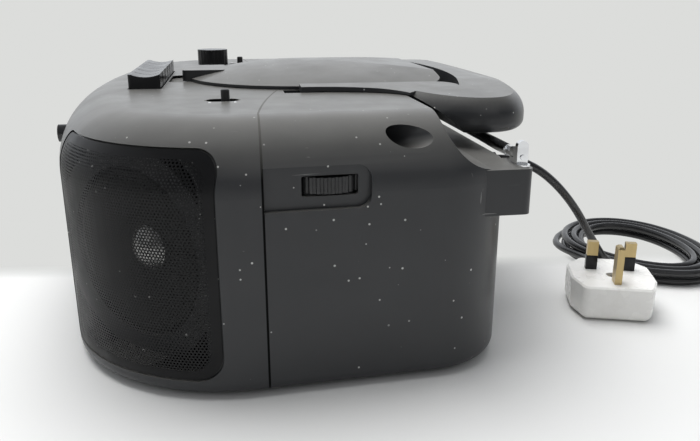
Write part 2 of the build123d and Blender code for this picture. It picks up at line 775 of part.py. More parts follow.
# Tuner board at the side and main board over the battery bay
with BuildPart() as circuit_boards:
    with BuildSketch(Plane.XY.offset(77.0)):
        with Locations((166.0, 6.0)):
            Rectangle(46.0, 34.0)
    extrude(amount=1.6)
    with BuildSketch(Plane.XY.offset(78.5)):
        with Locations((149.0, -4.0), (149.0, 14.0)):
            Rectangle(8, 8)
    extrude(amount=9.0)
    with BuildSketch(Plane.XY.offset(bay_top_z + 8.0)):
        with Locations((0, bay_mid_y)):
            Rectangle(168.0, 52.0)
    extrude(amount=1.6)
    with BuildSketch(Plane.XY.offset(bay_top_z + 9.5)):
        with Locations((60.0, bay_mid_y), (45.0, bay_mid_y + 12), (30.0, bay_mid_y - 10)):
            Circle(6.0)
        with Locations((-30.0, bay_mid_y), (-60.0, bay_mid_y + 6)):
            Rectangle(26.0, 12.0)
    extrude(amount=14.0)
circuit_boards.part.label = "circuit_boards"
export_step(circuit_boards.part, "parts/circuit_boards.step")

with BuildPart() as power_transformer:
    with BuildSketch(Plane.XY.offset(base_z + wall)):
        with Locations((134.0, 34.0)):
            Rectangle(46.0, 38.0)
    extrude(amount=38.0)
    with BuildSketch(Plane.XY.offset(base_z + wall + 5)):
        with Locations((134.0, 34.0)):
            RectangleRounded(34.0, 52.0, 6.0)
    extrude(amount=28.0)
power_transformer.part.label = "power_transformer"
export_step(power_transformer.part, "parts/power_transformer.step")

# Battery bay door and contacts
with BuildPart() as battery_door:
    with BuildSketch(Plane.XY.offset(base_z)):
        with Locations((0, bay_mid_y)):
            Rectangle(2 * bay_half_x - 0.6, bay_y1 - bay_y0 - 0.6)
    extrude(amount=2.2)
battery_door.part.label = "battery_door"
export_step(battery_door.part, "parts/battery_door.step")

with BuildPart() as battery_contacts:
    for s_x in (1, -1):
        with BuildSketch(Plane.YZ.offset(s_x * (bay_half_x - 0.5) - 0.5)):
            with Locations((bay_mid_y, 19.0)):
                with GridLocations(cell_d, 1, 2, 1):
                    Rectangle(16.0, 20.0)
        extrude(amount=1.0)
battery_contacts.part.label = "battery_contacts"
export_step(battery_contacts.part, "parts/battery_contacts.step")

# Disc player buttons beside the display
for x, name in ((68.0, "cd_play_button"), (-68.0, "cd_stop_button")):
    with BuildPart() as button:
        with BuildSketch(Plane.XZ.offset(-button_face_y - 11.0)):
            with Locations((x, button_z)):
                Circle(button_r)
        extrude(amount=11.0)
        with BuildSketch(Plane.XZ.offset(-button_face_y - 11.0)):
            with Locations((x, button_z)):
                Circle(button_r + 1.4)
        extrude(amount=1.2)
    button.part.label = name
    export_step(button.part, "parts/" + name + ".step")

# Feet and rear screws
with BuildPart() as cabinet_feet:
    with BuildSketch():
        with Locations((140, -78), (-140, -78), (140, 52), (-140, 52)):
            Circle(7.0)
    extrude(amount=foot_h)
cabinet_feet.part.label = "cabinet_feet"
export_step(cabinet_feet.part, "parts/cabinet_feet.step")

with BuildPart() as cabinet_screws:
    with BuildSketch(Plane.XZ.offset(-rear_y)):
        with Locations(*screw_spots):
            Circle(3.2)
    extrude(amount=-1.8)
    with BuildSketch(Plane.XZ.offset(-rear_y)):
        with Locations(*screw_spots):
            Circle(1.5)
    extrude(amount=9.0)
cabinet_screws.part.label = "cabinet_screws"
export_step(cabinet_screws.part, "parts/cabinet_screws.step")

# Display: window, scale and pointer
with BuildPart() as display_window:
    with BuildSketch(Plane.XZ.offset(118)):
        with Locations((0, (display_z0 + display_z1) / 2)):
            RectangleRounded(2 * display_half_x, display_z1 - display_z0, 1.5)
    extrude(amount=60)
    with BuildPart(mode=Mode.PRIVATE) as shoulder:
        add(block(0.2))
        add(block(2.4), mode=Mode.SUBTRACT)
    add(shoulder.part, mode=Mode.INTERSECT)
display_window.part.label = "display_window"
export_step(display_window.part, "parts/display_window.step")

scale_y = front_y + 12.5
with BuildPart() as dial_scale:
    with BuildSketch(Plane.XZ.offset(-scale_y)):
        with Locations((0, 105.75)):
            Rectangle(2 * display_half_x - 0.4, 17.5)
    extrude(amount=-1.6)
    # arms forward to the window
    with BuildSketch(Plane.XZ.offset(-scale_y - 0.1)):
        with Locations((0, display_z0 + 2.0)):
            with GridLocations(2 * display_half_x - 8, 1, 2, 1):
                Rectangle(4.0, 4.0)
    extrude(amount=6.1)
    # rail for the pointer
    with BuildSketch(Plane.XZ.offset(-scale_y - 0.1)):
        with Locations((0, 100.0)):
            Rectangle(2 * display_half_x - 8, 2.0)
    extrude(amount=1.7)
dial_scale.part.label = "dial_scale"
export_step(dial_scale.part, "parts/dial_scale.step")

with BuildPart() as dial_pointer:
    with BuildSketch(Plane.XZ.offset(-scale_y + 1.9)):
        with Locations((-35.0, 106.6)):
            Rectangle(1.2, 11.0)
        with Locations((-35.0, 101.6)):
            Rectangle(6.0, 1.0)
    extrude(amount=1.2)
dial_pointer.part.label = "dial_pointer"
export_step(dial_pointer.part, "parts/dial_pointer.step")

# Cassette door with its window and side channels
with BuildPart() as cassette_door:
    with BuildSketch(Plane.XZ.offset(118)):
        with Locations((0, (door_z0 + door_z1) / 2)):
            RectangleRounded(2 * door_half_x, door_z1 - door_z0, 3.0)
        with Locations((0, (door_z0 + door_z1) / 2 + 4)):
            RectangleRounded(84.0, 34.0, 4.0, mode=Mode.SUBTRACT)
    extrude(amount=60)
    with BuildPart(mode=Mode.PRIVATE) as skin:
        add(outer)
        add(block(door_t), mode=Mode.SUBTRACT)
    add(skin.part, mode=Mode.INTERSECT)
    with BuildPart(mode=Mode.PRIVATE) as channels:
        with BuildSketch(Plane.XY.offset(door_z0 + 8)):
            for s in (1, -1):
                with Locations((s * (tape_w / 2 + 1.4), front_y + 11)):
                    Rectangle(2.0, 18.0)
                with Locations((s * (tape_w / 2 - 1.0), front_y + 19.3)):
                    Rectangle(6.8, 1.4)
        extrude(amount=door_z1 - door_z0 - 12)
        add(block(0.6), mode=Mode.INTERSECT)
    add(channels.part)
    # finger lip at the top
    with BuildSketch(Plane.XZ.offset(-front_y - 2.0)):
        with Locations((0, door_z1 - 4.0)):
            RectangleRounded(44.0, 6.0, 1.5)
    extrude(amount=3.5)
cassette_door.part.label = "cassette_door"
export_step(cassette_door.part, "parts/cassette_door.step")
print("door", len(cassette_door.part.solids()))

with BuildPart() as cassette_window:
    with BuildSketch(Plane.XZ.offset(118)):
        with Locations((0, (door_z0 + door_z1) / 2 + 4)):
            RectangleRounded(83.8, 33.8, 3.9)
    extrude(amount=60)
    with BuildPart(mode=Mode.PRIVATE) as pane:
        add(block(0.5))
        add(block(2.3), mode=Mode.SUBTRACT)
    add(pane.part, mode=Mode.INTERSECT)
cassette_window.part.label = "cassette_window"
export_step(cassette_window.part, "parts/cassette_window.step")

# Cassette mechanism
plate_y = -117.0
with BuildPart() as tape_chassis:
    with BuildSketch(Plane.XZ.offset(-plate_y)):
        with Locations((0, 60.0)):
            Rectangle(126.0, 78.0)
        with Locations((21.25, 66.0), (-21.25, 66.0)):
            Circle(1.5 + running, mode=Mode.SUBTRACT)
        with Locations((14.0, 38.0)):
            Circle(1.2 + running, mode=Mode.SUBTRACT)
        with Locations((22.0, 38.0)):
            Circle(1.0 + running, mode=Mode.SUBTRACT)
        with Locations((-35.0, 40.0)):
            Circle(5.0, mode=Mode.SUBTRACT)
    extrude(amount=-2.0)
    # brackets to the cabinet's front wall
    with BuildPart(mode=Mode.PRIVATE) as lugs:
        with BuildSketch(Plane.XY.offset(30.0)):
            for s in (1, -1):
                with Locations((s * 65.0, -125.0)):
                    Rectangle(4.0, 26.0)
        extrude(amount=60.0)
        add(block(wall), mode=Mode.INTERSECT)
    add(lugs.part)
tape_chassis.part.label = "tape_chassis"
export_step(tape_chassis.part, "parts/tape_chassis.step")

for x, name in ((21.25, "supply_reel"), (-21.25, "takeup_reel")):
    with BuildPart() as reel:
        with BuildSketch(Plane.XZ.offset(-plate_y - 4)):
            with Locations((x, 66.0)):
                Circle(1.5)
        extrude(amount=5)
        with BuildSketch(Plane.XZ.offset(-plate_y + 0.3)):
            with Locations((x, 66.0)):
                Circle(10.0)
        extrude(amount=1.6)
        with BuildSketch(Plane.XZ.offset(-plate_y + 1.0)):
            with Locations((x, 66.0)):
                Circle(3.6)
                with PolarLocations(3.6, 3):
                    Rectangle(2.4, 1.0)
        extrude(amount=8)
    reel.part.label = name
    export_step(reel.part, "parts/" + name + ".step")

with BuildPart() as capstan:
    with BuildSketch(Plane.XZ.offset(-plate_y - 9)):
        with Locations((14.0, 38.0)):
            Circle(1.2)
    extrude(amount=20)
    with BuildSketch(Plane.XZ.offset(-plate_y - 8)):
        with Locations((14.0, 38.0)):
            Circle(20.0)
    extrude(amount=5.5)
capstan.part.label = "capstan"
export_step(capstan.part, "parts/capstan.step")

with BuildPart() as deck_motor:
    with BuildSketch(Plane.XZ.offset(-plate_y - 2.0)):
        with Locations((-35.0, 40.0)):
            Circle(14.0)
            Circle(5.0, mode=Mode.SUBTRACT)
    extrude(amount=-2.0)
    with BuildSketch(Plane.XZ.offset(-plate_y - 9.0)):
        with Locations((-35.0, 40.0)):
            Circle(14.0)
    extrude(amount=-22.0)
    with BuildSketch(Plane.XZ.offset(-plate_y - 3.0)):
        with Locations((-35.0 - 12.5, 40.0), (-35.0, 52.5)):
            Rectangle(3, 3)
    extrude(amount=-6.5)
    with BuildSketch(Plane.XZ.offset(-plate_y - 20.0)):
        with Locations((-35.0, 40.0)):
            Circle(1.0 + running)
    extrude(amount=16, mode=Mode.SUBTRACT)
deck_motor.part.label = "deck_motor"
export_step(deck_motor.part, "parts/deck_motor.step")
print("motor", len(deck_motor.part.solids()))

with BuildPart() as motor_pulley:
    with BuildSketch(Plane.XZ.offset(-plate_y - 8.6)):
        with Locations((-35.0, 40.0)):
            Circle(5.0)
    extrude(amount=4.2)
    with BuildSketch(Plane.XZ.offset(-plate_y - 16.0)):
        with Locations((-35.0, 40.0)):
            Circle(1.0)
    extrude(amount=8)
motor_pulley.part.label = "motor_pulley"
export_step(motor_pulley.part, "parts/motor_pulley.step")

with BuildPart() as tape_head:
    with BuildSketch(Plane.XZ.offset(-plate_y)):
        with Locations((0, 40.0)):
            RectangleRounded(13, 11, 2)
    extrude(amount=9)
    with BuildSketch(Plane.XZ.offset(-plate_y)):
        with Locations((-14, 39.0)):
            Rectangle(6, 7)
    extrude(amount=7)
tape_head.part.label = "tape_head"
export_step(tape_head.part, "parts/tape_head.step")

with BuildPart() as pinch_roller:
    with BuildSketch(Plane.XZ.offset(-plate_y + 0.3)):
        with Locations((22.0, 38.0)):
            Circle(6.4)
    extrude(amount=8)
    with BuildSketch(Plane.XZ.offset(-plate_y - 2)):
        with Locations((22.0, 38.0)):
            Circle(1.0)
    extrude(amount=2.6)
pinch_roller.part.label = "pinch_roller"
export_step(pinch_roller.part, "parts/pinch_roller.step")

# Key row
key_names = ("pause", "stop", "forward", "rewind", "play", "record")
for i, name in enumerate(key_names):
    x = (2.5 - i) * key_pitch
    with BuildPart() as key:
        with BuildSketch(Plane.XY.offset(deck_z - 8.0)):
            with Locations((x, key_y)):
                RectangleRounded(key_w, key_d, 1.5)
        extrude(amount=key_top_z - deck_z + 8.0)
        # hollow in the top for the finger
        with BuildSketch(Plane.YZ.offset(x - key_w / 2 - 1)):
            with Locations((key_y + 1.0, key_top_z + 21.0)):
                Circle(22.6)
        extrude(amount=key_w + 2, mode=Mode.SUBTRACT)
    key.part.label = "key_" + name
    export_step(key.part, "parts/key_" + name + ".step")

with BuildPart() as key_frame:
    with BuildSketch(Plane.XY.offset(deck_z - 15.0)):
        with Locations((0, key_y)):
            Rectangle(6 * key_pitch + 12, key_d)
    extrude(amount=2.2)
    with BuildSketch(Plane.XY.offset(deck_z - 13.0)):
        with Locations((0, key_y)):
            with GridLocations(6 * key_pitch + 7, 1, 2, 1):
                Rectangle(4.0, key_d)
    extrude(amount=13.0 - wall)
    with BuildSketch(Plane.XY.offset(deck_z - 13.0)):
        with Locations((0, key_y)):
            with GridLocations(key_pitch, 1, 6, 1):
                Rectangle(3.0, 3.0)
    extrude(amount=0.7)
key_frame.part.label = "key_frame"
export_step(key_frame.part, "parts/key_frame.step")

# Volume control
with BuildPart() as volume_pot:
    with BuildSketch(Plane.XY.offset(deck_z - 14.0)):
        with Locations((knob_x, knob_y)):
            RectangleRounded(18, 18, 1.5)
    extrude(amount=14.0 - wall)
    with BuildSketch(Plane.XY.offset(deck_z - wall - 0.1)):
        with Locations((knob_x, knob_y)):
            Circle(3.9)
    extrude(amount=wall - 0.1)
    with BuildSketch(Plane.XY.offset(deck_z - 11.5)):
        with Locations((knob_x, knob_y)):
            Circle(2.5 + running)
    extrude(amount=20, mode=Mode.SUBTRACT)
volume_pot.part.label = "volume_pot"
export_step(volume_pot.part, "parts/volume_pot.step")

with BuildPart() as volume_knob:
    with BuildSketch(Plane.XY.offset(deck_z + 0.4)):
        with Locations((knob_x, knob_y)):
            Circle(knob_r)
            with PolarLocations(knob_r + 0.4, 24):
                Circle(0.8, mode=Mode.SUBTRACT)
    extrude(amount=knob_top_z - deck_z - 0.4)
    with BuildSketch(Plane.XY.offset(deck_z - 11.0)):
        with Locations((knob_x, knob_y)):
            Circle(2.5)
    extrude(amount=12.0)
volume_knob.part.label = "volume_knob"
export_step(volume_knob.part, "parts/volume_knob.step")

# Slide switches
with BuildPart() as switch_bodies:
    for x, y in ((switch_x, band_y), (-switch_x, function_y)):
        with BuildSketch(Plane.XY.offset(deck_z - 15.0)):
            with Locations((x, y)):
                Rectangle(14, 26)
        extrude(amount=15.0 - wall)
        with BuildSketch(Plane.XY.offset(deck_z - 12.0)):
            with Locations((x, y)):
                SlotOverall(16.0, 5.6, rotation=90)
        extrude(amount=20, mode=Mode.SUBTRACT)
switch_bodies.part.label = "switch_bodies"
export_step(switch_bodies.part, "parts/switch_bodies.step")

for x, y, name in ((switch_x, band_y + 1.5, "band_switch"), (-switch_x, function_y, "function_switch")):
    with BuildPart() as lever:
        with BuildSketch(Plane.XY.offset(deck_z - 11.7)):
            with Locations((x, y)):
                Circle(2.3)
        extrude(amount=17.5)
        fillet(lever.faces().sort_by(Axis.Z)[-1].edges(), 0.8)
    lever.part.label = name
    export_step(lever.part, "parts/" + name + ".step")

# Antenna: post on the block, knuckle, and three tubes lying across the back
post_z = pocket_floor_z
with BuildPart() as antenna_post:
    with BuildSketch(Plane.XY.offset(post_z)):
        with Locations((antenna_x + 6.2, antenna_y)):
            Circle(3.5)
    extrude(amount=1.2)
    with BuildSketch(Plane.YZ.offset(antenna_x + 2.6)):
        with BuildLine():
            Line((antenna_y - 2.8, post_z), (antenna_y - 2.8, antenna_z + 5.1))
            ThreePointArc((antenna_y - 2.8, antenna_z + 5.1), (antenna_y, antenna_z + 7.9),
                          (antenna_y + 2.8, antenna_z + 5.1))
            Polyline((antenna_y + 2.8, antenna_z + 5.1), (antenna_y + 2.8, post_z), (antenna_y - 2.8, post_z))
        make_face()
        with Locations((antenna_y, antenna_z)):
            Circle(1.2 + running, mode=Mode.SUBTRACT)
    extrude(amount=3.0)
antenna_post.part.label = "antenna_post"
export_step(antenna_post.part, "parts/antenna_post.step")

with BuildPart() as antenna_knuckle:
    with BuildSketch(Plane.XY.offset(antenna_z - 3.0)):
        with BuildLine():
            Line((antenna_x + 2.3, antenna_y - 2.6), (antenna_x - 4.0, antenna_y - 2.6))
            ThreePointArc((antenna_x - 4.0, antenna_y - 2.6), (antenna_x - 6.6, antenna_y),
                          (antenna_x - 4.0, antenna_y + 2.6))
            Polyline((antenna_x - 4.0, antenna_y + 2.6), (antenna_x + 2.3, antenna_y + 2.6),
                     (antenna_x + 2.3, antenna_y - 2.6))
        make_face()
    extrude(amount=6.0)
    with BuildSketch(Plane.XY.offset(antenna_z - 1.15)):
        with Locations((antenna_x - 10.0, antenna_y)):
            Rectangle(20.0, 8.0)
    extrude(amount=2.3, mode=Mode.SUBTRACT)
    with BuildSketch(Plane.XY.offset(antenna_z - 3.0)):
        with Locations((antenna_x - 4.0, antenna_y)):
            Circle(1.0)
    extrude(amount=6.0)
    with BuildSketch(Plane.YZ.offset(antenna_x + 2.0)):
        with Locations((antenna_y, antenna_z)):
            Circle(1.2)
    extrude(amount=4.4)
antenna_knuckle.part.label = "antenna_knuckle"
export_step(antenna_knuckle.part, "parts/antenna_knuckle.step")

tube_x = antenna_x - 12.0
with BuildPart() as antenna_tube_1:
    with BuildSketch(Plane.XY.offset(antenna_z - 1.0)):
        with BuildLine():
            Line((tube_x - 4, antenna_y - 2.4), (antenna_x - 4.0, antenna_y - 2.4))
            ThreePointArc((antenna_x - 4.0, antenna_y - 2.4), (antenna_x - 1.6, antenna_y),
                          (antenna_x - 4.0, antenna_y + 2.4))
            Polyline((antenna_x - 4.0, antenna_y + 2.4), (tube_x - 4, antenna_y + 2.4),
                     (tube_x - 4, antenna_y - 2.4))
        make_face()
        with Locations((antenna_x - 4.0, antenna_y)):
            Circle(1.0 + running, mode=Mode.SUBTRACT)
    extrude(amount=2.0)
    with BuildSketch(Plane.YZ.offset(tube_x)):
        with Locations((antenna_y, antenna_z)):
            Circle(rod_r)
    extrude(amount=-rod_len)
    with BuildSketch(Plane.YZ.offset(tube_x - 5.0)):
        with Locations((antenna_y, antenna_z)):
            Circle(rod_r - 0.5)
    extrude(amount=-rod_len, mode=Mode.SUBTRACT)
antenna_tube_1.part.label = "antenna_tube_1"
export_step(antenna_tube_1.part, "parts/antenna_tube_1.step")

with BuildPart() as antenna_tube_2:
    with BuildSketch(Plane.YZ.offset(tube_x - 6.0)):
        with Locations((antenna_y, antenna_z)):
            Circle(rod_r - 0.56)
            Circle(rod_r - 1.1, mode=Mode.SUBTRACT)
    extrude(amount=-rod_len + 5.0)
antenna_tube_2.part.label = "antenna_tube_2"
export_step(antenna_tube_2.part, "parts/antenna_tube_2.step")

with BuildPart() as antenna_tube_3:
    with BuildSketch(Plane.YZ.offset(tube_x - 7.0)):
        with Locations((antenna_y, antenna_z)):
            Circle(rod_r - 1.16)
    extrude(amount=-rod_len + 5.0)
    with BuildSketch(Plane.YZ.offset(tube_x - rod_len - 1.6)):
        with Locations((antenna_y, antenna_z)):
            Circle(rod_r)
    extrude(amount=-4.0)
antenna_tube_3.part.label = "antenna_tube_3"
export_step(antenna_tube_3.part, "parts/antenna_tube_3.step")

# Strain relief where the mains cord leaves the rear wall
gland_end_y = rear_y + 15.0
with BuildPart() as cord_gland:
    for y0, y1, r in ((rear_y - wall - 3.0, rear_y - wall, 6.2), (rear_y - wall - 0.5, rear_y + 0.5, 4.95),
                      (rear_y, rear_y + 2.0, 7.0), (rear_y + 1.5, gland_end_y, 4.0)):
        with BuildSketch(Plane.XZ.offset(-y1)):
            with Locations((gland_x, gland_z)):
                Circle(r)
        extrude(amount=y1 - y0)
cord_gland.part.label = "cord_gland"
export_step(cord_gland.part, "parts/cord_gland.step")

# Loose coil of the mains cord behind the cabinet: in on the top layer, out again below
coil_c = Vector(46.0, 247.0)
coil_a = 60.0
coil_b = 50.0
coil_pitch = 6.4
coil_top_z = 8.9
coil_low_z = 2.6
coil_from = -20.0
coil_in_turns = 2.5
coil_climb_turns = 0.5
coil_out_turns = 2.75


def coil_point(turn):
    """A point of the coil's centreline, this many turns from its start."""
    angle = math.radians(coil_from) + 2 * math.pi * turn
    if turn < coil_in_turns:
        inward = turn
        z = coil_top_z
    elif turn < coil_in_turns + coil_climb_turns:
        part = (turn - coil_in_turns) / coil_climb_turns
        inward = coil_in_turns
        z = coil_top_z + (coil_low_z - coil_top_z) * (1 - math.cos(math.pi * part)) / 2
    else:
        inward = coil_in_turns - (turn - coil_in_turns - coil_climb_turns)
        z = coil_low_z
    sway = 1 + 0.05 * math.sin(2 * angle + 0.7) + 0.035 * math.sin(3 * angle + 0.4)
    a = (coil_a - coil_pitch * inward) * sway
    b = (coil_b - coil_pitch * inward) * sway
    return Vector(coil_c.X + a * math.cos(angle), coil_c.Y + b * math.sin(angle), z)


def coil_heading(turn):
    step = 0.002
    return (coil_point(turn + step) - coil_point(turn - step)).normalized()


def biarc(p0, t0, p1, t1):
    """The two tangent arcs from p0 heading t0 to p1 heading t1: their joint and headings."""
    v = p1 - p0
    t = t0 + t1
    k = 2 * (1 - t0.dot(t1))
    vt = v.dot(t)
    vv = v.dot(v)
    if abs(k) < 1e-9:
        d = vv / (2 * vt)
    else:
        d = (-vt + math.sqrt(vt * vt + k * vv)) / k
    return (p0 + t0 * d + p1 - t1 * d) * 0.5


coil_turns = coil_in_turns + coil_climb_turns + coil_out_turns
coil_steps = round(4 * coil_turns)
nodes = [(coil_point(coil_turns * i / coil_steps), coil_heading(coil_turns * i / coil_steps))
         for i in range(coil_steps + 1)]
nodes[0] = (nodes[0][0], Vector(nodes[0][1].X, nodes[0][1].Y, 0).normalized())
plug_dir = Vector(math.cos(math.radians(plug_turn)), math.sin(math.radians(plug_turn)), 0)
plug_side = Vector(-plug_dir.Y, plug_dir.X, 0)
plug_mid = Vector(plug_x, plug_y, 0)
entry = plug_mid - plug_dir * 33.0 + Vector(0, 0, plug_t / 2)
nodes.append((entry - plug_dir * cord_d, plug_dir))
coil_start, coil_start_dir = nodes[0]
coil_start_end = coil_start - coil_start_dir * cord_d
coil_samples = []
with BuildPart() as cord_coil:
    with BuildLine() as coil_path:
        Line(coil_start_end, coil_start)
        for (p0, t0), (p1, t1) in zip(nodes, nodes[1:]):
            mid = biarc(p0, t0, p1, t1)
            first = TangentArc(p0, mid, tangent=t0)
            TangentArc(mid, p1, tangent=first % 1)
        Line(nodes[-1][0], entry)
    with BuildSketch(Plane(origin=coil_start_end, z_dir=coil_start_dir)):
        Circle(cord_d / 2)
    sweep()
cord_coil.part.label = "cord_coil"
export_step(cord_coil.part, "parts/cord_coil.step")
coil_wire = coil_path.wires()[0]
coil_length = coil_wire.length
n = 900
samples = [coil_wire.position_at(i / n) for i in range(n + 1)]
apart = min((samples[i] - samples[j]).length
            for i in range(n + 1) for j in range(i + 1, n + 1) if (j - i) * coil_length / n > 40.0)
print("coil length", round(coil_length, 1), "least gap to itself", round(apart - cord_d, 2))
print("coil volume against section times length",
      round(cord_coil.part.volume / (math.pi * cord_d**2 / 4 * coil_length), 4),
      "solids", len(cord_coil.part.solids()))

# Free stretch of the mains cord, from the strain relief down to the coil
cord_route = [
    Vector(gland_x, gland_end_y, gland_z),
    Vector(gland_x, 123.0, gland_z),
    Vector(108.0, 139.0, 84.0),
    Vector(105.5, 155.0, 71.5),
    Vector(101.0, 171.0, 54.0),
    Vector(95.5, 185.0, 34.0),
    coil_start_end - coil_start_dir * 24.0,
    coil_start_end,
]
cord_radii = []
for a, b, c in zip(cord_route, cord_route[1:], cord_route[2:]):
    shorter = min((b - a).length, (c - b).length)
    turn = (b - a).get_angle(c - b)
    cord_radii.append(0.45 * shorter / math.tan(math.radians(turn / 2)))
with BuildPart() as mains_cord:
    with BuildLine() as cord_path:
        FilletPolyline(*cord_route, radius=cord_radii)
    with BuildSketch(Plane(origin=cord_route[0], z_dir=(cord_route[1] - cord_route[0]).normalized())):
        Circle(cord_d / 2)
    sweep()
mains_cord.part.label = "mains_cord"
export_step(mains_cord.part, "parts/mains_cord.step")
cord_length = cord_path.wires()[0].length
print("cord radii", [round(r, 1) for r in cord_radii], "length", round(cord_length, 1))
print("cord volume against section times length",
      round(mains_cord.part.volume / (math.pi * cord_d**2 / 4 * cord_length), 4))

# Mains plug lying on its back, three rectangular pins up
plug_place = Location((plug_x, plug_y, 0), (0, 0, plug_turn))
pin_row_u = -8.0
earth_u = pin_row_u + 22.2
with BuildPart() as plug:
    with BuildSketch():
        with BuildLine():
            Polyline((-27, -15), (-14, -24.5), (8, -24.5), (24, -19), (24, 19), (8, 24.5), (-14, 24.5),
                     (-27, 15), (-27, -15))
        make_face()
        fillet(vertices(), 4.5)
    extrude(amount=plug_t)
    chamfer(plug.faces().sort_by(Axis.Z)[-1].edges(), 1.0)
    fillet(plug.faces().sort_by(Axis.Z)[0].edges(), 5.0)
    with BuildSketch(Plane.YZ.offset(-33.0)):
        with Locations((0, plug_t / 2)):
            Circle(4.6)
    extrude(amount=8.0)
    with BuildSketch(Plane.XY.offset(plug_t - 2.5)):
        with Locations((2.0, 0)):
            Circle(3.6)
    extrude(amount=5.0, mode=Mode.SUBTRACT)
plug_body = plug.part.moved(plug_place)
plug_body.label = "plug_body"
export_step(plug_body, "parts/plug_body.step")

with BuildPart() as pins:
    with BuildSketch(Plane.XY.offset(plug_t)):
        with Locations((pin_row_u, -11.1), (pin_row_u, 11.1)):
            Rectangle(3.97, 6.35)
    extrude(amount=17.7)
    with BuildSketch(Plane.XY.offset(plug_t)):
        with Locations((earth_u, 0)):
            Rectangle(7.92, 3.97)
    extrude(amount=22.7)
    chamfer(pins.faces().sort_by(Axis.Z)[-1].edges(), 1.2)
plug_pins = pins.part.moved(plug_place)
plug_pins.label = "plug_pins"
export_step(plug_pins, "parts/plug_pins.step")
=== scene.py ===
import bpy, bmesh, math
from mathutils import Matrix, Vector
from mathutils.bvhtree import BVHTree


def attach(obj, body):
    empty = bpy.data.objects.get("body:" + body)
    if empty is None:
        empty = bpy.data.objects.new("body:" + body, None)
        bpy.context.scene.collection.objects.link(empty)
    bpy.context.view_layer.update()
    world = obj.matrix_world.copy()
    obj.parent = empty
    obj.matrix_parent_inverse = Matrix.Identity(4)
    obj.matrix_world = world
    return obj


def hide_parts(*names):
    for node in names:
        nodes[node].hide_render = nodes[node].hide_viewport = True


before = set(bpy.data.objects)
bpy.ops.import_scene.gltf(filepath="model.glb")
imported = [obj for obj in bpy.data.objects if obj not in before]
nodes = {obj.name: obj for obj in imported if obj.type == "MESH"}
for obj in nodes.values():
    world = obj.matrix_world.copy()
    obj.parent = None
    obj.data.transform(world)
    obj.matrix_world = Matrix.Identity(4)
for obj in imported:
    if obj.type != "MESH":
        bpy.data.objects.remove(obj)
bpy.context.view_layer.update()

scene = bpy.context.scene
scene.view_settings.view_transform = "Standard"

# Lengths are in metres throughout, in the frame's axes.

# ---------------------------------------------------------------- camera, where the photo's was
CAMERA_AT = (0.491, -0.038, 0.178)
YAW, PITCH = math.radians(9.5), math.radians(17.3)
cam_data = bpy.data.cameras.new("camera")
cam_data.sensor_width = 36.0
cam_data.lens = 36.0
cam_data.clip_start = 0.02
camera = bpy.data.objects.new("camera", cam_data)
scene.collection.objects.link(camera)
camera.location = CAMERA_AT
look = Vector((-math.cos(YAW) * math.cos(PITCH),
               math.sin(YAW) * math.cos(PITCH),
               -math.sin(PITCH)))
camera.rotation_euler = look.to_track_quat("-Z", "Y").to_euler()
scene.camera = camera


# ---------------------------------------------------------------- helpers
def link(name, mesh, body="cabinet", material=None, smooth=True):
    """An object made of the mesh, riding on the body."""
    obj = bpy.data.objects.new(name, mesh)
    scene.collection.objects.link(obj)
    if material:
        mesh.materials.append(material)
    if smooth:
        for p in mesh.polygons:
            p.use_smooth = True
    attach(obj, body)
    return obj


def from_bm(name, bm, body="cabinet", material=None, smooth=True):
    mesh = bpy.data.meshes.new(name)
    bm.to_mesh(mesh)
    bm.free()
    return link(name, mesh, body, material, smooth)


def tree(node_name):
    mesh = nodes[node_name].data
    return BVHTree.FromPolygons([v.co.copy() for v in mesh.vertices],
                                [tuple(p.vertices) for p in mesh.polygons])


def slab(bm):
    """A cube of side 1 about the origin, whose corners the caller moves."""
    return bmesh.ops.create_cube(bm, size=1.0)["verts"]


def new_material(name):
    m = bpy.data.materials.new(name)
    m.use_nodes = True
    nt = m.node_tree
    bsdf = nt.nodes["Principled BSDF"]
    return m, nt, bsdf


def node(nt, kind, **values):
    """A shader node with its inputs or its own settings given by name."""
    n = nt.nodes.new(kind)
    for k, v in values.items():
        if k in n.inputs:
            n.inputs[k].default_value = v
        else:
            setattr(n, k, v)
    return n


def math_node(nt, op, a, b=None, clamp=False):
    n = nt.nodes.new("ShaderNodeMath")
    n.operation = op
    n.use_clamp = clamp
    for i, x in enumerate((a, b)):
        if x is None:
            continue
        if isinstance(x, (int, float)):
            n.inputs[i].default_value = x
        else:
            nt.links.new(x, n.inputs[i])
    return n.outputs[0]


def mix(nt, fac, a, b):
    n = nt.nodes.new("ShaderNodeMix")
    n.data_type = "RGBA"
    for sock, x in ((n.inputs[0], fac), (n.inputs[6], a), (n.inputs[7], b)):
        if hasattr(x, "links"):
            nt.links.new(x, sock)
        elif isinstance(x, (int, float)):
            sock.default_value = x
        else:
            sock.default_value = (*x, 1)
    return n.outputs[2]


def coords(nt):
    return nt.nodes.new("ShaderNodeTexCoord").outputs["Object"]


def noise(nt, vec, scale, detail=3.0, rough=0.5, stretch=None):
    if stretch:
        mp = nt.nodes.new("ShaderNodeMapping")
        mp.inputs["Scale"].default_value = stretch
        nt.links.new(vec, mp.inputs[0])
        vec = mp.outputs[0]
    n = node(nt, "ShaderNodeTexNoise", Scale=scale, Detail=detail, Roughness=rough)
    nt.links.new(vec, n.inputs["Vector"])
    return n.outputs["Fac"]


def ramp(nt, fac, lo, hi, out_lo=0.0, out_hi=1.0):
    """The value's range lo to hi mapped onto out_lo to out_hi."""
    n = nt.nodes.new("ShaderNodeMapRange")
    n.inputs["From Min"].default_value = lo
    n.inputs["From Max"].default_value = hi
    n.inputs["To Min"].default_value = out_lo
    n.inputs["To Max"].default_value = out_hi
    nt.links.new(fac, n.inputs["Value"])
    return n.outputs["Result"]


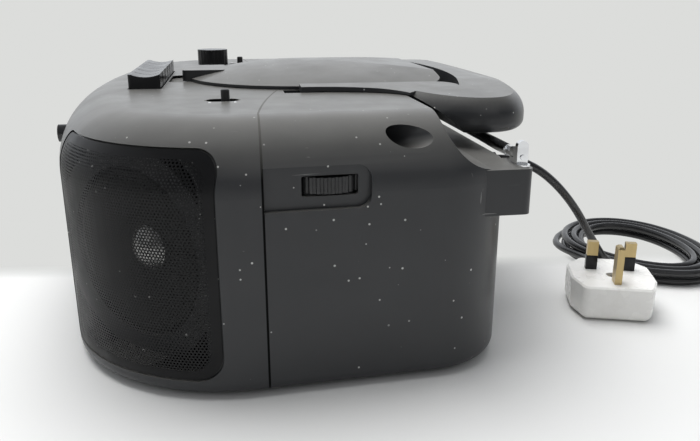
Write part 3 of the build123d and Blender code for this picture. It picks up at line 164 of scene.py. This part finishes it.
def bump(nt, bsdf, height, strength, distance):
    b = node(nt, "ShaderNodeBump", Strength=strength, Distance=distance)
    nt.links.new(height, b.inputs["Height"])
    nt.links.new(b.outputs[0], bsdf.inputs["Normal"])


SCUFF_TONE = (0.32, 0.32, 0.31)
SPECK_TONE = (0.55, 0.55, 0.53)


def plastic(name, color, rough=0.4, rough_spread=0.08, grain=0.0001, grain_scale=1100.0,
            vary=0.10, specks=0.0, scuffs=0.0, dirt=None, coat=0.0, speck_scale=130.0, spec=0.5):
    """Moulded or painted plastic: colour drift, fine grain, specks of dust and faint scuffs."""
    m, nt, bsdf = new_material(name)
    v = coords(nt)
    big = noise(nt, v, 14.0, 4.0)
    dark = [c * (1 - vary) for c in color]
    light = [min(1, c * (1 + vary)) for c in color]
    col = mix(nt, ramp(nt, big, 0.3, 0.7), dark, light)
    if dirt:
        spots = noise(nt, v, 45.0, 6.0, 0.65)
        col = mix(nt, ramp(nt, spots, 0.52, 0.72, 0.0, dirt[1]), col, dirt[0])
    if scuffs:
        s1 = noise(nt, v, 1.0, 2.0, 0.5, (30, 30, 900))
        s2 = noise(nt, v, 1.0, 2.0, 0.5, (900, 60, 60))
        patch = ramp(nt, noise(nt, v, 30.0, 2.0), 0.55, 0.62)
        lines = math_node(nt, "MAXIMUM", ramp(nt, s1, 0.72, 0.74), ramp(nt, s2, 0.73, 0.75))
        fac = math_node(nt, "MULTIPLY", math_node(nt, "MULTIPLY", lines, patch), scuffs)
        col = mix(nt, fac, col, SCUFF_TONE)
    if specks:
        vor = node(nt, "ShaderNodeTexVoronoi", Scale=speck_scale, Randomness=1.0)
        nt.links.new(v, vor.inputs["Vector"])
        sel = ramp(nt, noise(nt, v, 35.0, 2.0), 0.44, 0.50)
        dot = ramp(nt, vor.outputs["Distance"], 0.085, 0.06)
        fac = math_node(nt, "MULTIPLY", math_node(nt, "MULTIPLY", dot, sel), specks, True)
        col = mix(nt, fac, col, SPECK_TONE)
    nt.links.new(col, bsdf.inputs["Base Color"])
    r = ramp(nt, noise(nt, v, 60.0, 4.0), 0.3, 0.7, rough - rough_spread, rough + rough_spread)
    nt.links.new(r, bsdf.inputs["Roughness"])
    bsdf.inputs["Specular IOR Level"].default_value = spec
    bsdf.inputs["Coat Weight"].default_value = coat
    if grain:
        bump(nt, bsdf, noise(nt, v, grain_scale, 2.0), 0.25, grain)
    return m


# The case's seam: its y follows a parabola in |x|, given by its value at the first x, its slope
# from the first to the second and its bend, up to the last x, and a straight line past that
SEAM_X_FIRST, SEAM_X_SECOND, SEAM_X_LAST = 0.066, 0.118, 0.165
SEAM_Y, SEAM_SLOPE, SEAM_BEND, SEAM_SLOPE_PAST = -0.0095, -0.20962, 0.80636, 0.01515
SEAM_DARK_TO, SEAM_FADES_BY = 0.00042, 0.00062
# The finger recess before the lid, from just under the deck's face down, and the rims of the two
# switch slots on the deck, both given painted shade in near black
MASK_Z_LOW, RECESS_Z_HIGH = 0.12, 0.1288
RECESS_HALF_X, RECESS_Y, RECESS_HALF_Y = 0.0245, -0.0715, 0.0075
SLOT_X, SLOT_Y, SLOT_RIGHT_SHIFT = 0.115, -0.030, -0.013
SLOT_HALF_RUN, SLOT_RIM_R = 0.00325, 0.0062
# The second tone is painted shade, for the finger recess and the switch slot rims
SEAM_TONE, RECESS_SHADE_TONE = (0.004, 0.004, 0.004), (0.006, 0.006, 0.006)
CASE_PAINT = dict(color=(0.027, 0.028, 0.030), rough=0.36, rough_spread=0.05, grain=0.00006,
                  grain_scale=1500, vary=0.08, specks=0.95, scuffs=0.45, speck_scale=140.0)
CASE_SHEEN, CASE_SPEC = 0.12, 0.38


def case_material(name, sheen):
    """The painted case: a dark seam between the halves, painted shade in the recesses and round
    the switch slots, and a soft sheen.
    """
    m = plastic(name, coat=sheen, **CASE_PAINT)
    nt = m.node_tree
    bsdf = nt.nodes["Principled BSDF"]
    bsdf.inputs["Coat Roughness"].default_value = 0.32
    sep = nt.nodes.new("ShaderNodeSeparateXYZ")
    nt.links.new(coords(nt), sep.inputs[0])
    x, y, z = (sep.outputs[i] for i in range(3))

    def op(kind, a, b=None):
        return math_node(nt, kind, a, b)

    across = op("ABSOLUTE", x)
    held = op("MINIMUM", across, SEAM_X_LAST)
    from_first = op("SUBTRACT", held, SEAM_X_FIRST)
    from_second = op("SUBTRACT", held, SEAM_X_SECOND)
    bend = op("MULTIPLY", op("MULTIPLY", from_first, from_second), SEAM_BEND)
    line = op("ADD", op("MULTIPLY", from_first, SEAM_SLOPE), op("ADD", bend, SEAM_Y))
    past = op("MAXIMUM", op("SUBTRACT", across, SEAM_X_LAST), 0.0)
    line = op("SUBTRACT", line, op("MULTIPLY", past, SEAM_SLOPE_PAST))
    seam = ramp(nt, op("ABSOLUTE", op("SUBTRACT", y, line)), SEAM_FADES_BY, SEAM_DARK_TO)

    # Painted shade: the finger recess and the rims round the two switch slots turn near black
    top = op("GREATER_THAN", z, MASK_Z_LOW)
    low = op("LESS_THAN", z, RECESS_Z_HIGH)
    near = op("LESS_THAN", across, RECESS_HALF_X)
    band = op("LESS_THAN", op("ABSOLUTE", op("SUBTRACT", y, RECESS_Y)), RECESS_HALF_Y)
    recess_shade = op("MULTIPLY", op("MULTIPLY", op("MULTIPLY", low, near), band), top)

    slot_y = op("ADD", op("MULTIPLY", op("GREATER_THAN", x, 0.0), SLOT_RIGHT_SHIFT), SLOT_Y)
    dx = op("SUBTRACT", across, SLOT_X)
    dy = op("SUBTRACT", op("ABSOLUTE", op("SUBTRACT", y, slot_y)), SLOT_HALF_RUN)
    dy = op("MAXIMUM", dy, 0.0)
    reach = op("ADD", op("MULTIPLY", dx, dx), op("MULTIPLY", dy, dy))
    slot_rim_shade = op("MULTIPLY", op("LESS_THAN", reach, SLOT_RIM_R**2), top)
    recess_shade = op("MAXIMUM", recess_shade, slot_rim_shade)

    old = bsdf.inputs["Base Color"].links[0].from_socket
    col = mix(nt, recess_shade, mix(nt, seam, old, SEAM_TONE), RECESS_SHADE_TONE)
    nt.links.new(col, bsdf.inputs["Base Color"])
    matt = op("MAXIMUM", seam, recess_shade)
    nt.links.new(ramp(nt, matt, 0.0, 1.0, CASE_SPEC, 0.02), bsdf.inputs["Specular IOR Level"])
    nt.links.new(ramp(nt, matt, 0.0, 1.0, sheen, 0.0), bsdf.inputs["Coat Weight"])
    return m


def dust_and_top_light(m, amount=0.62, tint=(0.215, 0.210, 0.196)):
    """Fine dust, and painted light: a lighter, warmer tone on the faces that look up."""
    nt = m.node_tree
    bsdf = nt.nodes["Principled BSDF"]
    tc = nt.nodes.new("ShaderNodeTexCoord")
    sep = nt.nodes.new("ShaderNodeSeparateXYZ")
    nt.links.new(tc.outputs["Normal"], sep.inputs[0])
    # Painted light mixed with patchy dust: the more a face looks up, the lighter and warmer it
    # turns
    up = ramp(nt, sep.outputs[2], 0.25, 0.97)
    patchy = ramp(nt, noise(nt, tc.outputs["Object"], 22.0, 5.0, 0.6), 0.3, 0.7, 0.75, 1.0)
    fac = math_node(nt, "MULTIPLY", math_node(nt, "MULTIPLY", up, patchy), amount)
    old = bsdf.inputs["Base Color"].links[0].from_socket
    nt.links.new(mix(nt, fac, old, tint), bsdf.inputs["Base Color"])
    return m


def metal(name, color, rough=0.25, brushed=None, spread=0.06):
    """Metal with a faint streak along the axis that brushed stretches least."""
    m, nt, bsdf = new_material(name)
    v = coords(nt)
    bsdf.inputs["Metallic"].default_value = 1.0
    streak = noise(nt, v, 1.0, 3.0, 0.5, brushed) if brushed else noise(nt, v, 220.0, 3.0)
    col = mix(nt, ramp(nt, streak, 0.3, 0.7), [c * 0.86 for c in color], color)
    nt.links.new(col, bsdf.inputs["Base Color"])
    shine = ramp(nt, streak, 0.3, 0.7, rough - spread, rough + spread)
    nt.links.new(shine, bsdf.inputs["Roughness"])
    bump(nt, bsdf, streak, 0.12, 0.00005)
    return m


def glass(name, tint, rough, alpha):
    m, nt, bsdf = new_material(name)
    v = coords(nt)
    drift = mix(nt, noise(nt, v, 30.0), [c * 0.9 for c in tint], tint)
    nt.links.new(drift, bsdf.inputs["Base Color"])
    smears = ramp(nt, noise(nt, v, 80.0), 0.3, 0.7, rough, rough + 0.05)
    nt.links.new(smears, bsdf.inputs["Roughness"])
    bsdf.inputs["Alpha"].default_value = alpha
    return m


def paint(node_name, material):
    obj = nodes[node_name]
    for slot in obj.material_slots:
        slot.material = material


# ---------------------------------------------------------------- cord and its coil
CORD_D = 0.005
GLAND_END = Vector((0.108, 0.112, 0.0905))
COIL_C, COIL_A, COIL_B, COIL_PITCH = (0.046, 0.247), 0.060, 0.050, 0.0064
TOP_Z, LOW_Z, COIL_START = 0.0089, 0.0026, math.radians(-20.0)
# Turns inward on the upper layer, then the part of a turn that goes down, then turns outward below
IN_TURNS, DOWN_TURNS, OUT_TURNS = 2.5, 0.5, 2.75
POINTS_PER_TURN = 16
PLUG_TURN = math.radians(-18.0)
PLUG_MID = Vector((0.1269, 0.1838, 0.0))
PLUG_ENTRY_BACK, PLUG_ENTRY_Z = 0.033, 0.0105


def coil_point(turn):
    """The coil's centreline after so many turns: two layers of a slightly uneven oval spiral."""
    a0 = COIL_START + 2 * math.pi * turn
    if turn < IN_TURNS:
        inward, z = turn, TOP_Z
    elif turn < IN_TURNS + DOWN_TURNS:
        part = (turn - IN_TURNS) / DOWN_TURNS
        inward, z = IN_TURNS, TOP_Z + (LOW_Z - TOP_Z) * (1 - math.cos(math.pi * part)) / 2
    else:
        inward, z = IN_TURNS - (turn - IN_TURNS - DOWN_TURNS), LOW_Z
    sway = 1 + 0.05 * math.sin(2 * a0 + 0.7) + 0.035 * math.sin(3 * a0 + 0.4)
    a, b = (COIL_A - COIL_PITCH * inward) * sway, (COIL_B - COIL_PITCH * inward) * sway
    return Vector((COIL_C[0] + a * math.cos(a0), COIL_C[1] + b * math.sin(a0), z))


turns = IN_TURNS + DOWN_TURNS + OUT_TURNS
start = coil_point(0.0)
heading = coil_point(0.002) - start
heading.z = 0
heading.normalize()
begin = start - heading * CORD_D
plug_dir = Vector((math.cos(PLUG_TURN), math.sin(PLUG_TURN), 0))
entry = PLUG_MID - plug_dir * PLUG_ENTRY_BACK + Vector((0, 0, PLUG_ENTRY_Z))
route = [
    GLAND_END,
    Vector((0.108, 0.123, 0.0905)),
    Vector((0.108, 0.139, 0.084)),
    Vector((0.1055, 0.155, 0.0715)),
    Vector((0.101, 0.171, 0.054)),
    Vector((0.0955, 0.185, 0.034)),
    begin - heading * 0.024,
    begin,
]
route += [coil_point(i / POINTS_PER_TURN) for i in range(int(turns * POINTS_PER_TURN) + 1)]
route += [
    entry - plug_dir * 0.028 + Vector((0, 0.0004, -0.0035)),
    entry - plug_dir * 0.012,
    entry,
]


def nurbs(name, points, radius, resolution=12):
    curve = bpy.data.curves.new(name, "CURVE")
    curve.dimensions = "3D"
    spline = curve.splines.new("NURBS")
    spline.points.add(len(points) - 1)
    for p, q in zip(spline.points, points):
        p.co = (*q, 1)
    spline.order_u = 3
    spline.use_endpoint_u = True
    curve.resolution_u = resolution
    curve.bevel_depth = radius
    curve.bevel_resolution = 4
    curve.use_fill_caps = True
    obj = bpy.data.objects.new(name, curve)
    scene.collection.objects.link(obj)
    return obj


def spline_length(obj):
    """The length of the curve's centreline, measured with its thickness off."""
    curve = obj.data
    depth, curve.bevel_depth = curve.bevel_depth, 0.0
    mesh = bpy.data.meshes.new_from_object(obj)
    curve.bevel_depth = depth
    pts = [v.co.copy() for v in mesh.vertices]
    bpy.data.meshes.remove(mesh)
    return sum((b - a).length for a, b in zip(pts, pts[1:]))


cord = nurbs("mains_lead", route, CORD_D / 2)
cord_len = spline_length(cord)
cord_black = plastic("cord_black", (0.016, 0.016, 0.017), 0.24, 0.06, 0.00004, 500, 0.2,
                     specks=0.25, speck_scale=220)
cord.data.materials.append(cord_black)
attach(cord, "cabinet")
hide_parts("mains_cord", "cord_coil")

# ---------------------------------------------------------------- materials
# Each case paint below gets dust and painted light on its upward faces
graphite = dust_and_top_light(plastic("graphite_paint", coat=CASE_SHEEN, spec=CASE_SPEC, **CASE_PAINT))
case_paint = dust_and_top_light(case_material("case_paint", CASE_SHEEN))
lid_paint = dust_and_top_light(plastic("lid_paint", coat=CASE_SHEEN, spec=CASE_SPEC, **CASE_PAINT))
mesh_black = plastic("mesh_black", (0.0045, 0.0045, 0.005), 0.40, 0.08, 0, 900, 0.1,
                     specks=0.3, spec=0.22)
black = plastic("black_moulded", (0.017, 0.017, 0.018), 0.34, 0.08, 0.00008, 900, 0.15,
                specks=0.5, speck_scale=260)
black_gloss = plastic("black_gloss", (0.010, 0.010, 0.011), 0.22, 0.05, 0.00002, 900, 0.1,
                      specks=0.3, spec=0.3)
dark_inner = plastic("dark_inner", (0.02, 0.02, 0.021), 0.6, 0.1, 0.00008, 700, 0.2)
paper = plastic("cone_paper", (0.022, 0.022, 0.021), 0.8, 0.06, 0.0003, 700, 0.3)
cap_silver = metal("cap_silver", (0.72, 0.72, 0.70), 0.30)
steel = metal("zinc_steel_look", (0.56, 0.57, 0.58), 0.34, (400, 20, 20))
chrome = metal("chrome_look", (0.82, 0.83, 0.84), 0.09, (300, 30, 300), 0.03)
brass = metal("brass_look", (0.52, 0.40, 0.20), 0.32, (300, 300, 20))
board = plastic("board_green", (0.03, 0.16, 0.06), 0.35, 0.06, 0.0001, 300, 0.25)
white_plug = plastic("plug_white", (0.88, 0.87, 0.84), 0.26, 0.08, 0.00005, 700, 0.02,
                     dirt=((0.50, 0.47, 0.42), 0.22), scuffs=0.15)
rubber = plastic("rubber_look", (0.02, 0.02, 0.02), 0.7, 0.1, 0.0002, 600, 0.2)
cream = plastic("dial_cream", (0.70, 0.68, 0.60), 0.5, 0.06, 0.00004, 600, 0.05)
red = plastic("pointer_red", (0.70, 0.05, 0.02), 0.35, 0.05, 0.00004, 600, 0.05)
white_ink = plastic("white_ink", (0.66, 0.67, 0.67), 0.5, 0.05, 0, 600, 0.05)
ink = plastic("dial_ink", (0.03, 0.03, 0.035), 0.5, 0.05, 0, 600, 0.05)
smoked = glass("smoked_window", (0.02, 0.021, 0.024), 0.07, 0.55)

for name, material in {
    "front_cabinet": case_paint, "rear_cabinet": case_paint, "handle": graphite,
    "cd_lid": lid_paint, "cassette_door": graphite, "speaker_grilles": mesh_black,
    "speaker_baskets": dark_inner, "speaker_cones": paper, "dust_caps": cap_silver,
    "cd_well": dark_inner, "spindle_motor": steel, "spindle_hub": black, "laser_sled": black,
    "sled_rods": steel, "disc_clamp": black, "hinge_pins": steel, "tuning_wheel": black,
    "tuning_capacitor": steel, "circuit_boards": board, "power_transformer": steel,
    "display_window": smoked, "dial_scale": cream, "dial_pointer": red,
    "cassette_window": smoked, "tape_chassis": steel, "supply_reel": black, "takeup_reel": black,
    "capstan": brass, "deck_motor": steel, "motor_pulley": brass, "tape_head": steel,
    "pinch_roller": rubber, "key_frame": dark_inner, "volume_pot": steel,
    "volume_knob": black_gloss, "switch_bodies": dark_inner, "band_switch": black,
    "function_switch": black, "antenna_post": chrome, "antenna_knuckle": chrome,
    "antenna_tube_1": chrome, "antenna_tube_2": chrome, "antenna_tube_3": chrome,
    "battery_contacts": steel, "battery_door": graphite, "cabinet_feet": rubber,
    "cabinet_screws": steel, "cord_gland": rubber, "plug_body": white_plug, "plug_pins": brass,
    "key_pause": black_gloss, "key_stop": black_gloss, "key_forward": black_gloss,
    "key_rewind": black_gloss, "key_play": black_gloss, "key_record": black_gloss,
    "cd_play_button": black, "cd_stop_button": black,
}.items():
    paint(name, material)

# ---------------------------------------------------------------- plug sleeves and screw
PLUG_TOP_Z = 0.021
PIN_HALF_PITCH = 0.0111
SCREW_U, SCREW_R, SCREW_SEAT, SCREW_HEAD = 0.002, 0.0031, 0.0025, 0.0008


def plug_point(u, v, z):
    """The place u along the plug, v across it and z up, from the middle of its underside."""
    side = Vector((-plug_dir.y, plug_dir.x, 0))
    return PLUG_MID + plug_dir * u + side * v + Vector((0, 0, z))


def plug_prism(name, u, v, du, dv, z0, z1, material, bevel=0.0003):
    bm = bmesh.new()
    for w in slab(bm):
        w.co = plug_point(u + w.co.x * du, v + w.co.y * dv, z0 + (w.co.z + 0.5) * (z1 - z0))
    bmesh.ops.bevel(bm, geom=bm.edges[:], offset=bevel, segments=2, affect="EDGES", profile=0.5)
    return from_bm(name, bm, "cabinet", material)


for i, v in enumerate((-PIN_HALF_PITCH, PIN_HALF_PITCH)):
    plug_prism("pin_sleeve_%d" % i, -0.008, v, 0.0043, 0.0067, PLUG_TOP_Z - 0.0002,
                             PLUG_TOP_Z + 0.0090, black_gloss)
bm = bmesh.new()
bmesh.ops.create_circle(bm, cap_ends=True, segments=24, radius=SCREW_R)
top = bmesh.ops.extrude_face_region(bm, geom=bm.faces[:])
for w in top["geom"]:
    if isinstance(w, bmesh.types.BMVert):
        w.co.z += SCREW_HEAD
for w in bm.verts:
    w.co = plug_point(SCREW_U + w.co.x, w.co.y, PLUG_TOP_Z - SCREW_SEAT + w.co.z)
from_bm("plug_screw", bm, "cabinet", brass, False)
# A thin black sheet on the screw head stands for the slot: painted shade, with no groove cut
plug_prism("plug_screw_slot_shade", SCREW_U, 0.0, 0.0052, 0.0007, PLUG_TOP_Z - 0.0018,
                         PLUG_TOP_Z - 0.00165, black, 0.00005)

# ---------------------------------------------------------------- perforated grilles
# The case's corner in plan: an arc between the flat end and the bowed front
CORNER_R, SIDE_X, FRONT_Y, BOW_R = 0.089, 0.198, -0.140, 0.559
CORNER_X = SIDE_X - CORNER_R
CORNER_Y = FRONT_Y + BOW_R - math.sqrt((BOW_R - CORNER_R) ** 2 - CORNER_X**2)
GRILLE_TURN = math.radians(42.0)
GRILLE_W, GRILLE_H, GRILLE_Z, GRILLE_CORNER_R = 0.104, 0.108, 0.064, 0.012
HOLE_STEP, HOLE_R, MESH_LIFT = 0.0016, 0.00051, 0.00004
PLAIN_EDGE = 0.0032
RIM_INSET, RIM_STEP = 0.0003, 0.003
RIM_RINGS = ((0.0004, 0.00002), (0.0016, 0.00008), (0.0042, 0.00006))  # inset and lift of each
CAST_FROM = 0.2
grille_tree = tree("speaker_grilles")


def grille_hit(side, s, t):
    """The point and normal of the grille's face, s along it and t up from its middle."""
    n = Vector((side * math.cos(GRILLE_TURN), -math.sin(GRILLE_TURN), 0))
    along = Vector((-n.y, n.x, 0))
    middle = Vector((side * CORNER_X, CORNER_Y, GRILLE_Z))
    origin = middle + along * s + Vector((0, 0, t)) + n * CAST_FROM
    hit, normal, _, _ = grille_tree.ray_cast(origin, -n, CAST_FROM)
    return (hit, normal) if hit else (None, None)


def inside_rounded(s, t, inset):
    """Whether the point lies in the grille's outline, drawn in by the inset."""
    hx, hy = GRILLE_W / 2 - inset, GRILLE_H / 2 - inset
    r = max(GRILLE_CORNER_R - inset, 0.001)
    dx, dy = max(abs(s) - (hx - r), 0), max(abs(t) - (hy - r), 0)
    return dx * dx + dy * dy <= r * r and abs(s) <= hx and abs(t) <= hy


def rim_outline():
    """Points round the grille's outline, RIM_STEP or less apart."""
    hx, hy = GRILLE_W / 2 - RIM_INSET, GRILLE_H / 2 - RIM_INSET
    r = max(GRILLE_CORNER_R - RIM_INSET, 0.002)
    pts = []
    for cx, cy, a0 in ((1, 1, 0), (-1, 1, 90), (-1, -1, 180), (1, -1, 270)):
        for k in range(9):
            a = math.radians(a0 + 90 * k / 8)
            pts.append((cx * (hx - r) + r * math.cos(a), cy * (hy - r) + r * math.sin(a)))
    dense = []
    for p, q in zip(pts, pts[1:] + pts[:1]):
        n = max(1, round(math.hypot(q[0] - p[0], q[1] - p[1]) / RIM_STEP))
        dense += [(p[0] + (q[0] - p[0]) * i / n, p[1] + (q[1] - p[1]) * i / n) for i in range(n)]
    return dense


def add_holes(bm, side):
    """Six-sided cells in staggered rows, each with a six-sided hole."""
    cache = {}

    def vert(s, t):
        key = (round(s * 2e5), round(t * 2e5))
        if key not in cache:
            hit, normal = grille_hit(side, s, t)
            cache[key] = bm.verts.new(hit + normal * MESH_LIFT) if hit else None
        return cache[key]

    cell_r = HOLE_STEP / math.sqrt(3)
    rows = int(GRILLE_H / (HOLE_STEP * 0.866)) // 2 + 1
    cols = int(GRILLE_W / HOLE_STEP) // 2 + 1
    for row in range(-rows, rows + 1):
        t = row * HOLE_STEP * math.sqrt(3) / 2
        for col in range(-cols, cols + 1):
            s = col * HOLE_STEP + (HOLE_STEP / 2 if row % 2 else 0)
            if not inside_rounded(s, t, PLAIN_EDGE):
                continue
            outer, inner = [], []
            for k in range(6):
                a = math.pi / 6 + k * math.pi / 3
                outer.append(vert(s + cell_r * math.cos(a), t + cell_r * math.sin(a)))
                inner.append(vert(s + HOLE_R * math.cos(a), t + HOLE_R * math.sin(a)))
            if None in outer or None in inner:
                continue
            for k in range(6):
                j = (k + 1) % 6
                try:
                    bm.faces.new((outer[k], outer[j], inner[j], inner[k]))
                except ValueError:
                    pass


def add_rim(bm, side):
    """The plain rim, as a strip through the rings of RIM_RINGS."""
    hx, hy = GRILLE_W / 2 - RIM_INSET, GRILLE_H / 2 - RIM_INSET
    outline = rim_outline()
    rings = []
    for inset, lift in RIM_RINGS:
        fs, ft = (hx - (inset - RIM_INSET)) / hx, (hy - (inset - RIM_INSET)) / hy
        ring = []
        for s, t in outline:
            hit, normal = grille_hit(side, s * fs, t * ft)
            ring.append(bm.verts.new(hit + normal * lift) if hit else None)
        rings.append(ring)
    for a, b in zip(rings, rings[1:]):
        for k in range(len(a)):
            j = (k + 1) % len(a)
            if None not in (a[k], a[j], b[k], b[j]):
                bm.faces.new((a[k], a[j], b[j], b[k]))


def make_grille(side, name):
    bm = bmesh.new()
    add_holes(bm, side)
    add_rim(bm, side)
    bmesh.ops.recalc_face_normals(bm, faces=bm.faces[:])
    bm.normal_update()
    return from_bm(name, bm, "cabinet", mesh_black)


grille_objs = [make_grille(1, "mesh_right"), make_grille(-1, "mesh_left")]
for g in grille_objs:
    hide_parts("speaker_grilles")

# ---------------------------------------------------------------- printed ticks and dial figures
DECK_Z = 0.129
TICK_HALF_X, TICK_HALF_Y, TICK_SUNK, TICK_PROUD = 0.0015, 0.0006, 0.0001, 0.00004
SWITCH_TICKS = ((0.1235, -0.0495), (0.1235, -0.0365), (-0.1235, -0.0365), (-0.1235, -0.0235))
DIAL_FACE_Y, DIAL_X0, DIAL_TICK_Z, DIAL_FIGURE_Z = -0.1275, -0.042, 0.1082, 0.1112
DIAL_TICKS, DIAL_TICK_STEP, TICKS_PER_FIGURE = 25, 0.0035, 4
DIAL_TICK_HALF, DIAL_TICK_TALL, DIAL_TICK_SHORT = 0.0002, 0.0024, 0.0013
DIAL_FIGURES = ("88", "92", "96", "100", "104", "106", "108")
FIGURE_STEP, FIGURE_SIZE = 0.014, 0.0026


def plate(name, x0, y0, z0, x1, y1, z1, material):
    bm = bmesh.new()
    for w in slab(bm):
        w.co = Vector((x0 + (w.co.x + 0.5) * (x1 - x0),
                       y0 + (w.co.y + 0.5) * (y1 - y0),
                       z0 + (w.co.z + 0.5) * (z1 - z0)))
    return from_bm(name, bm, "cabinet", material, False)


def figure(text, x, z, size):
    """A number on the dial, as a flat mesh."""
    curve = bpy.data.curves.new("dial_figure_" + text, "FONT")
    curve.body = text
    curve.size = size
    curve.align_x = "CENTER"
    curve.resolution_u = 3
    holder = bpy.data.objects.new("figure_holder", curve)
    scene.collection.objects.link(holder)
    mesh = bpy.data.meshes.new_from_object(holder)
    bpy.data.objects.remove(holder)
    for w in mesh.vertices:
        w.co = Vector((x + w.co.x, DIAL_FACE_Y - 0.00005, z + w.co.y))
    return link("dial_figure_" + text, mesh, "cabinet", ink, False)


for i, (x, y) in enumerate(SWITCH_TICKS):
    plate("switch_tick_%d" % i, x - TICK_HALF_X, y - TICK_HALF_Y, DECK_Z - TICK_SUNK,
          x + TICK_HALF_X, y + TICK_HALF_Y, DECK_Z + TICK_PROUD, white_ink)
for i in range(DIAL_TICKS):
    tall = DIAL_TICK_SHORT if i % TICKS_PER_FIGURE else DIAL_TICK_TALL
    x = DIAL_X0 + i * DIAL_TICK_STEP
    plate("dial_tick_%d" % i, x - DIAL_TICK_HALF, DIAL_FACE_Y - 0.00006, DIAL_TICK_Z,
          x + DIAL_TICK_HALF, DIAL_FACE_Y + 0.0001, DIAL_TICK_Z + tall, ink)
for i, text in enumerate(DIAL_FIGURES):
    figure(text, DIAL_X0 + i * FIGURE_STEP, DIAL_FIGURE_Z, FIGURE_SIZE)

# ---------------------------------------------------------------- floor, backdrop and light
# Past the table's edge the camera and reflections see the backdrop's tone, and the object is lit
# by the plain floor and sky
BACKDROP = (0.715, 0.722, 0.708, 1)
TABLE_TONE, PAST_TABLE_TONE = (0.78, 0.78, 0.77), (0.60, 0.61, 0.60)
TABLE_EDGE_SLOPE, TABLE_EDGE_FROM, TABLE_EDGE_TO = 0.105, 0.016, 0.040
FLOOR_Z, FLOOR_HALF = -0.0002, 12.0
SKY_TINT, SKY_BASE, SKY_GLOW = (0.93, 0.96, 1.0, 1), 0.24, 0.75

floor_mat, nt, bsdf = new_material("floor_pale")
bsdf.inputs["Roughness"].default_value = 0.9
bsdf.inputs["Specular IOR Level"].default_value = 0.1
v = nt.nodes.new("ShaderNodeTexCoord").outputs["Object"]
sep = nt.nodes.new("ShaderNodeSeparateXYZ")
nt.links.new(v, sep.inputs[0])
edge = math_node(nt, "SUBTRACT", sep.outputs[0],
                 math_node(nt, "MULTIPLY", sep.outputs[1], TABLE_EDGE_SLOPE))
near = ramp(nt, edge, TABLE_EDGE_FROM, TABLE_EDGE_TO)
nt.links.new(mix(nt, near, PAST_TABLE_TONE, TABLE_TONE), bsdf.inputs["Base Color"])
lp = nt.nodes.new("ShaderNodeLightPath")
emit = nt.nodes.new("ShaderNodeEmission")
emit.inputs["Color"].default_value = BACKDROP
seen = math_node(nt, "MAXIMUM", lp.outputs["Is Camera Ray"],
                 math_node(nt, "MAXIMUM", lp.outputs["Is Glossy Ray"],
                           lp.outputs["Is Transmission Ray"]))
far = math_node(nt, "MULTIPLY", math_node(nt, "SUBTRACT", 1.0, near), seen)
ms = nt.nodes.new("ShaderNodeMixShader")
nt.links.new(far, ms.inputs[0])
nt.links.new(bsdf.outputs[0], ms.inputs[1])
nt.links.new(emit.outputs[0], ms.inputs[2])
nt.links.new(ms.outputs[0], nt.nodes["Material Output"].inputs["Surface"])
bm = bmesh.new()
bmesh.ops.create_grid(bm, x_segments=1, y_segments=1, size=FLOOR_HALF)
mesh = bpy.data.meshes.new("floor")
bm.to_mesh(mesh)
bm.free()
floor = bpy.data.objects.new("floor", mesh)
mesh.materials.append(floor_mat)
scene.collection.objects.link(floor)
floor.location.z = FLOOR_Z

world = bpy.data.worlds.new("world")
scene.world = world
world.use_nodes = True
wt = world.node_tree
bg = wt.nodes["Background"]
bg.inputs["Color"].default_value = SKY_TINT
direction = wt.nodes.new("ShaderNodeTexCoord").outputs["Generated"]
wsep = wt.nodes.new("ShaderNodeSeparateXYZ")
wt.links.new(direction, wsep.inputs[0])
behind = ramp(wt, wsep.outputs[0], 0.15, -0.45)
low_sky = ramp(wt, wsep.outputs[2], 0.95, 0.45)
glow = math_node(wt, "MULTIPLY", math_node(wt, "MULTIPLY", behind, low_sky), SKY_GLOW)
wt.links.new(math_node(wt, "ADD", glow, SKY_BASE), bg.inputs["Strength"])
bg2 = wt.nodes.new("ShaderNodeBackground")
bg2.inputs["Color"].default_value = BACKDROP
wlp = wt.nodes.new("ShaderNodeLightPath")
wmix = wt.nodes.new("ShaderNodeMixShader")
wt.links.new(wlp.outputs["Is Camera Ray"], wmix.inputs[0])
wt.links.new(bg.outputs[0], wmix.inputs[1])
wt.links.new(bg2.outputs[0], wmix.inputs[2])
wt.links.new(wmix.outputs[0], wt.nodes["World Output"].inputs["Surface"])


def area(name, loc, target, size, power):
    """A rectangular light at loc that faces the target."""
    data = bpy.data.lights.new(name, "AREA")
    data.shape = "RECTANGLE"
    data.size, data.size_y = size
    data.energy = power
    obj = bpy.data.objects.new(name, data)
    scene.collection.objects.link(obj)
    obj.location = loc
    obj.rotation_euler = (Vector(target) - Vector(loc)).to_track_quat("-Z", "Y").to_euler()
    return obj


key_light = area("key_light", (-0.3, -0.2, 1.5), (0.05, 0.02, 0.05), (1.4, 1.4), 31.0)
key_light.visible_glossy = False
area("fill_light", (1.4, 0.5, 0.9), (0.1, 0.05, 0.06), (1.2, 1.0), 1.6)
area("front_light", (0.7, -1.3, 0.8), (0.1, -0.05, 0.06), (0.9, 0.9), 1.6)
